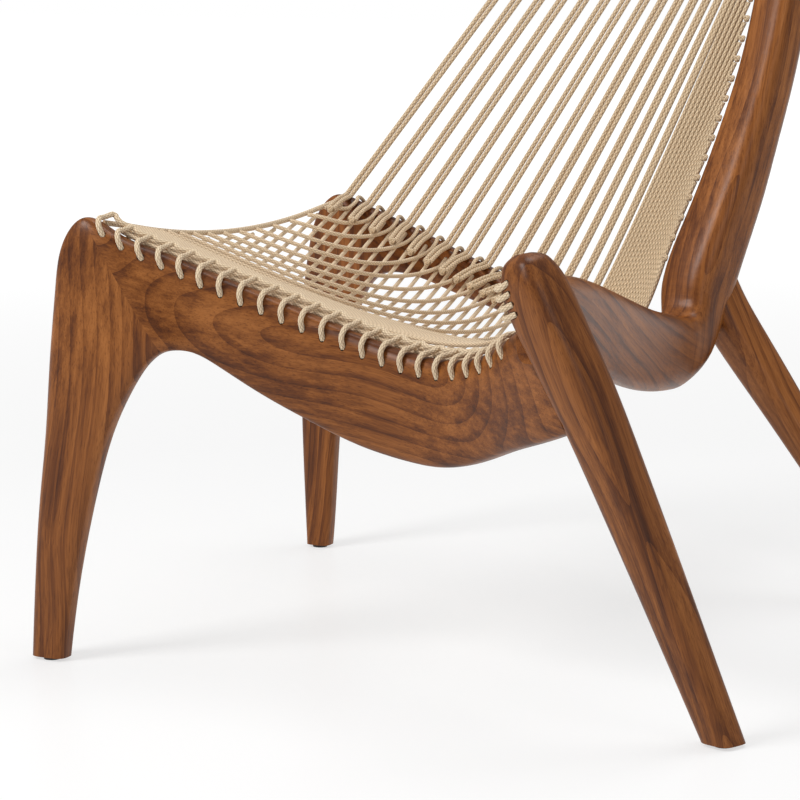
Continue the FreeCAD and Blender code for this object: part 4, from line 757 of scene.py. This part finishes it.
dowel_wood = mottled("dowel_beech", 0.1, 300.0, (196, 160, 116), (218, 186, 144), 0.6)
glide_plastic = mottled("glide_plastic", 1.0, 900.0, (38, 32, 28), (52, 44, 38), 0.55)
for name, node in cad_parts.items():
    if name.endswith("dowels") or name == "foot_glides":
        node.data.materials.clear()
        node.data.materials.append(glide_plastic if name == "foot_glides" else dowel_wood)

# Braided cords in place of the plain ones, and hitches between the lacing's loops.
braids = {kind: braid(kind, *look) for kind, (_, *look) in CORD_KINDS.items()}
for name in ROUTES:
    is_loop = name.endswith("loops")
    if name.startswith("back_strings"):
        kind = "back_string"
    elif is_loop or name == "seat_edge_cord":
        kind = "seat_cord"
    else:
        kind = "weave_cord"
    routes = routes_of(name)
    if name == "front_rail_loops":
        routes += hitches(routes)
    skin = (LOOP_STEP, LOOP_SIDES, LOOP_RELIEF) if is_loop else (CORD_STEP, CORD_SIDES)
    piece_name = name.replace("_cords", "_cord").replace("strings", "string") + "_braided"
    piece = cords(piece_name, routes, kind, CORD_KINDS[kind][0] / 2, *skin)
    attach(piece, "root")
    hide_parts(name)

# Knots where the strings end on the post, and where each pair's tails are tied to the seat.
knot_routes = [knot(centre, KNOT_RADIUS) for centre in points_of(KNOTS)]
for name in ("back_strings_left", "back_strings_middle"):
    tails = [route[-1] for route in routes_of(name)]
    for first, second in zip(tails[::2], tails[1::2]):
        knot_routes.append(knot((np.array(first) + np.array(second)) / 2, TAIL_KNOT_RADIUS))
knots = cords(
    "back_post_knots_tied", knot_routes, "back_string", KNOT_CORD_RADIUS, KNOT_STEP, KNOT_SIDES
)
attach(knots, "root")
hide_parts("back_post_knots")

# Floor: pale and plain to the light that falls on it, and seen with a glow that grows far off.
floor_mesh = bpy.data.meshes.new("floor")
corners = [
    (-FLOOR_REACH, -FLOOR_REACH, 0), (FLOOR_REACH, -FLOOR_REACH, 0),
    (FLOOR_REACH, FLOOR_REACH, 0), (-FLOOR_REACH, FLOOR_REACH, 0),
]
floor_mesh.from_pydata(corners, [], [(0, 1, 2, 3)])
floor = bpy.data.objects.new("floor", floor_mesh)
bpy.context.scene.collection.objects.link(floor)
floor_paint, tree, shader = material("floor_paint")
put_all(tree, shader, {
    "Base Color": FLOOR_COLOUR, "Roughness": 0.35, "Specular IOR Level": 0.25,
})
surface = shader.outputs["BSDF"].links[0].to_socket
rays = tree.nodes.new("ShaderNodeLightPath").outputs
seen = maths(tree, "MAXIMUM", rays["Is Camera Ray"], rays["Is Glossy Ray"])
seen = maths(tree, "MAXIMUM", seen, rays["Is Transmission Ray"])
distance = node_of(tree, "VectorMath", {0: place_in(tree)}, operation="LENGTH").outputs["Value"]
far = map_range(tree, distance, NEAR, FAR, NEAR_SHARE, FAR_SHARE)
glow = node_of(tree, "Emission", {"Color": WHITE, "Strength": FLOOR_GLOW}).outputs[0]
inputs = {0: maths(tree, "MULTIPLY", seen, far), 1: shader.outputs["BSDF"], 2: glow}
put(tree, surface, node_of(tree, "MixShader", inputs).outputs[0])
floor_mesh.materials.append(floor_paint)

# Sky: white, and brighter to the camera than to the chair.
world = bpy.data.worlds.new("studio")
bpy.context.scene.world = world
world.use_nodes = True
tree = world.node_tree
tree.nodes.clear()
output = tree.nodes.new("ShaderNodeOutputWorld")
rays = tree.nodes.new("ShaderNodeLightPath").outputs
seen = maths(tree, "MAXIMUM", rays["Is Camera Ray"], rays["Is Transmission Ray"])
strength = maths(tree, "MULTIPLY_ADD", seen, SKY_SEEN, SKY_LIGHT)
sky = node_of(tree, "Background", {"Color": WHITE, "Strength": strength})
put(tree, output.inputs["Surface"], sky.outputs[0])

for name, (place, target, size, power) in LAMPS.items():
    data = bpy.data.lights.new(name, "AREA")
    data.shape = "RECTANGLE"
    data.size, data.size_y = size
    data.energy = power
    lamp = bpy.data.objects.new(name, data)
    lamp.location = place
    lamp.rotation_euler = (Vector(target) - Vector(place)).to_track_quat("-Z", "Y").to_euler()
    bpy.context.scene.collection.objects.link(lamp)

camera_data = bpy.data.cameras.new("camera")
camera_data.lens = LENS
camera_data.sensor_width = SENSOR
camera_data.clip_end = CLIP_END
camera = bpy.data.objects.new("camera", camera_data)
camera.location = CAMERA_PLACE
camera.rotation_euler = (math.radians(CAMERA_TILT), 0.0, math.radians(CAMERA_PAN))
bpy.context.scene.collection.objects.link(camera)
bpy.context.scene.camera = camera
bpy.context.scene.view_settings.view_transform = "Standard"
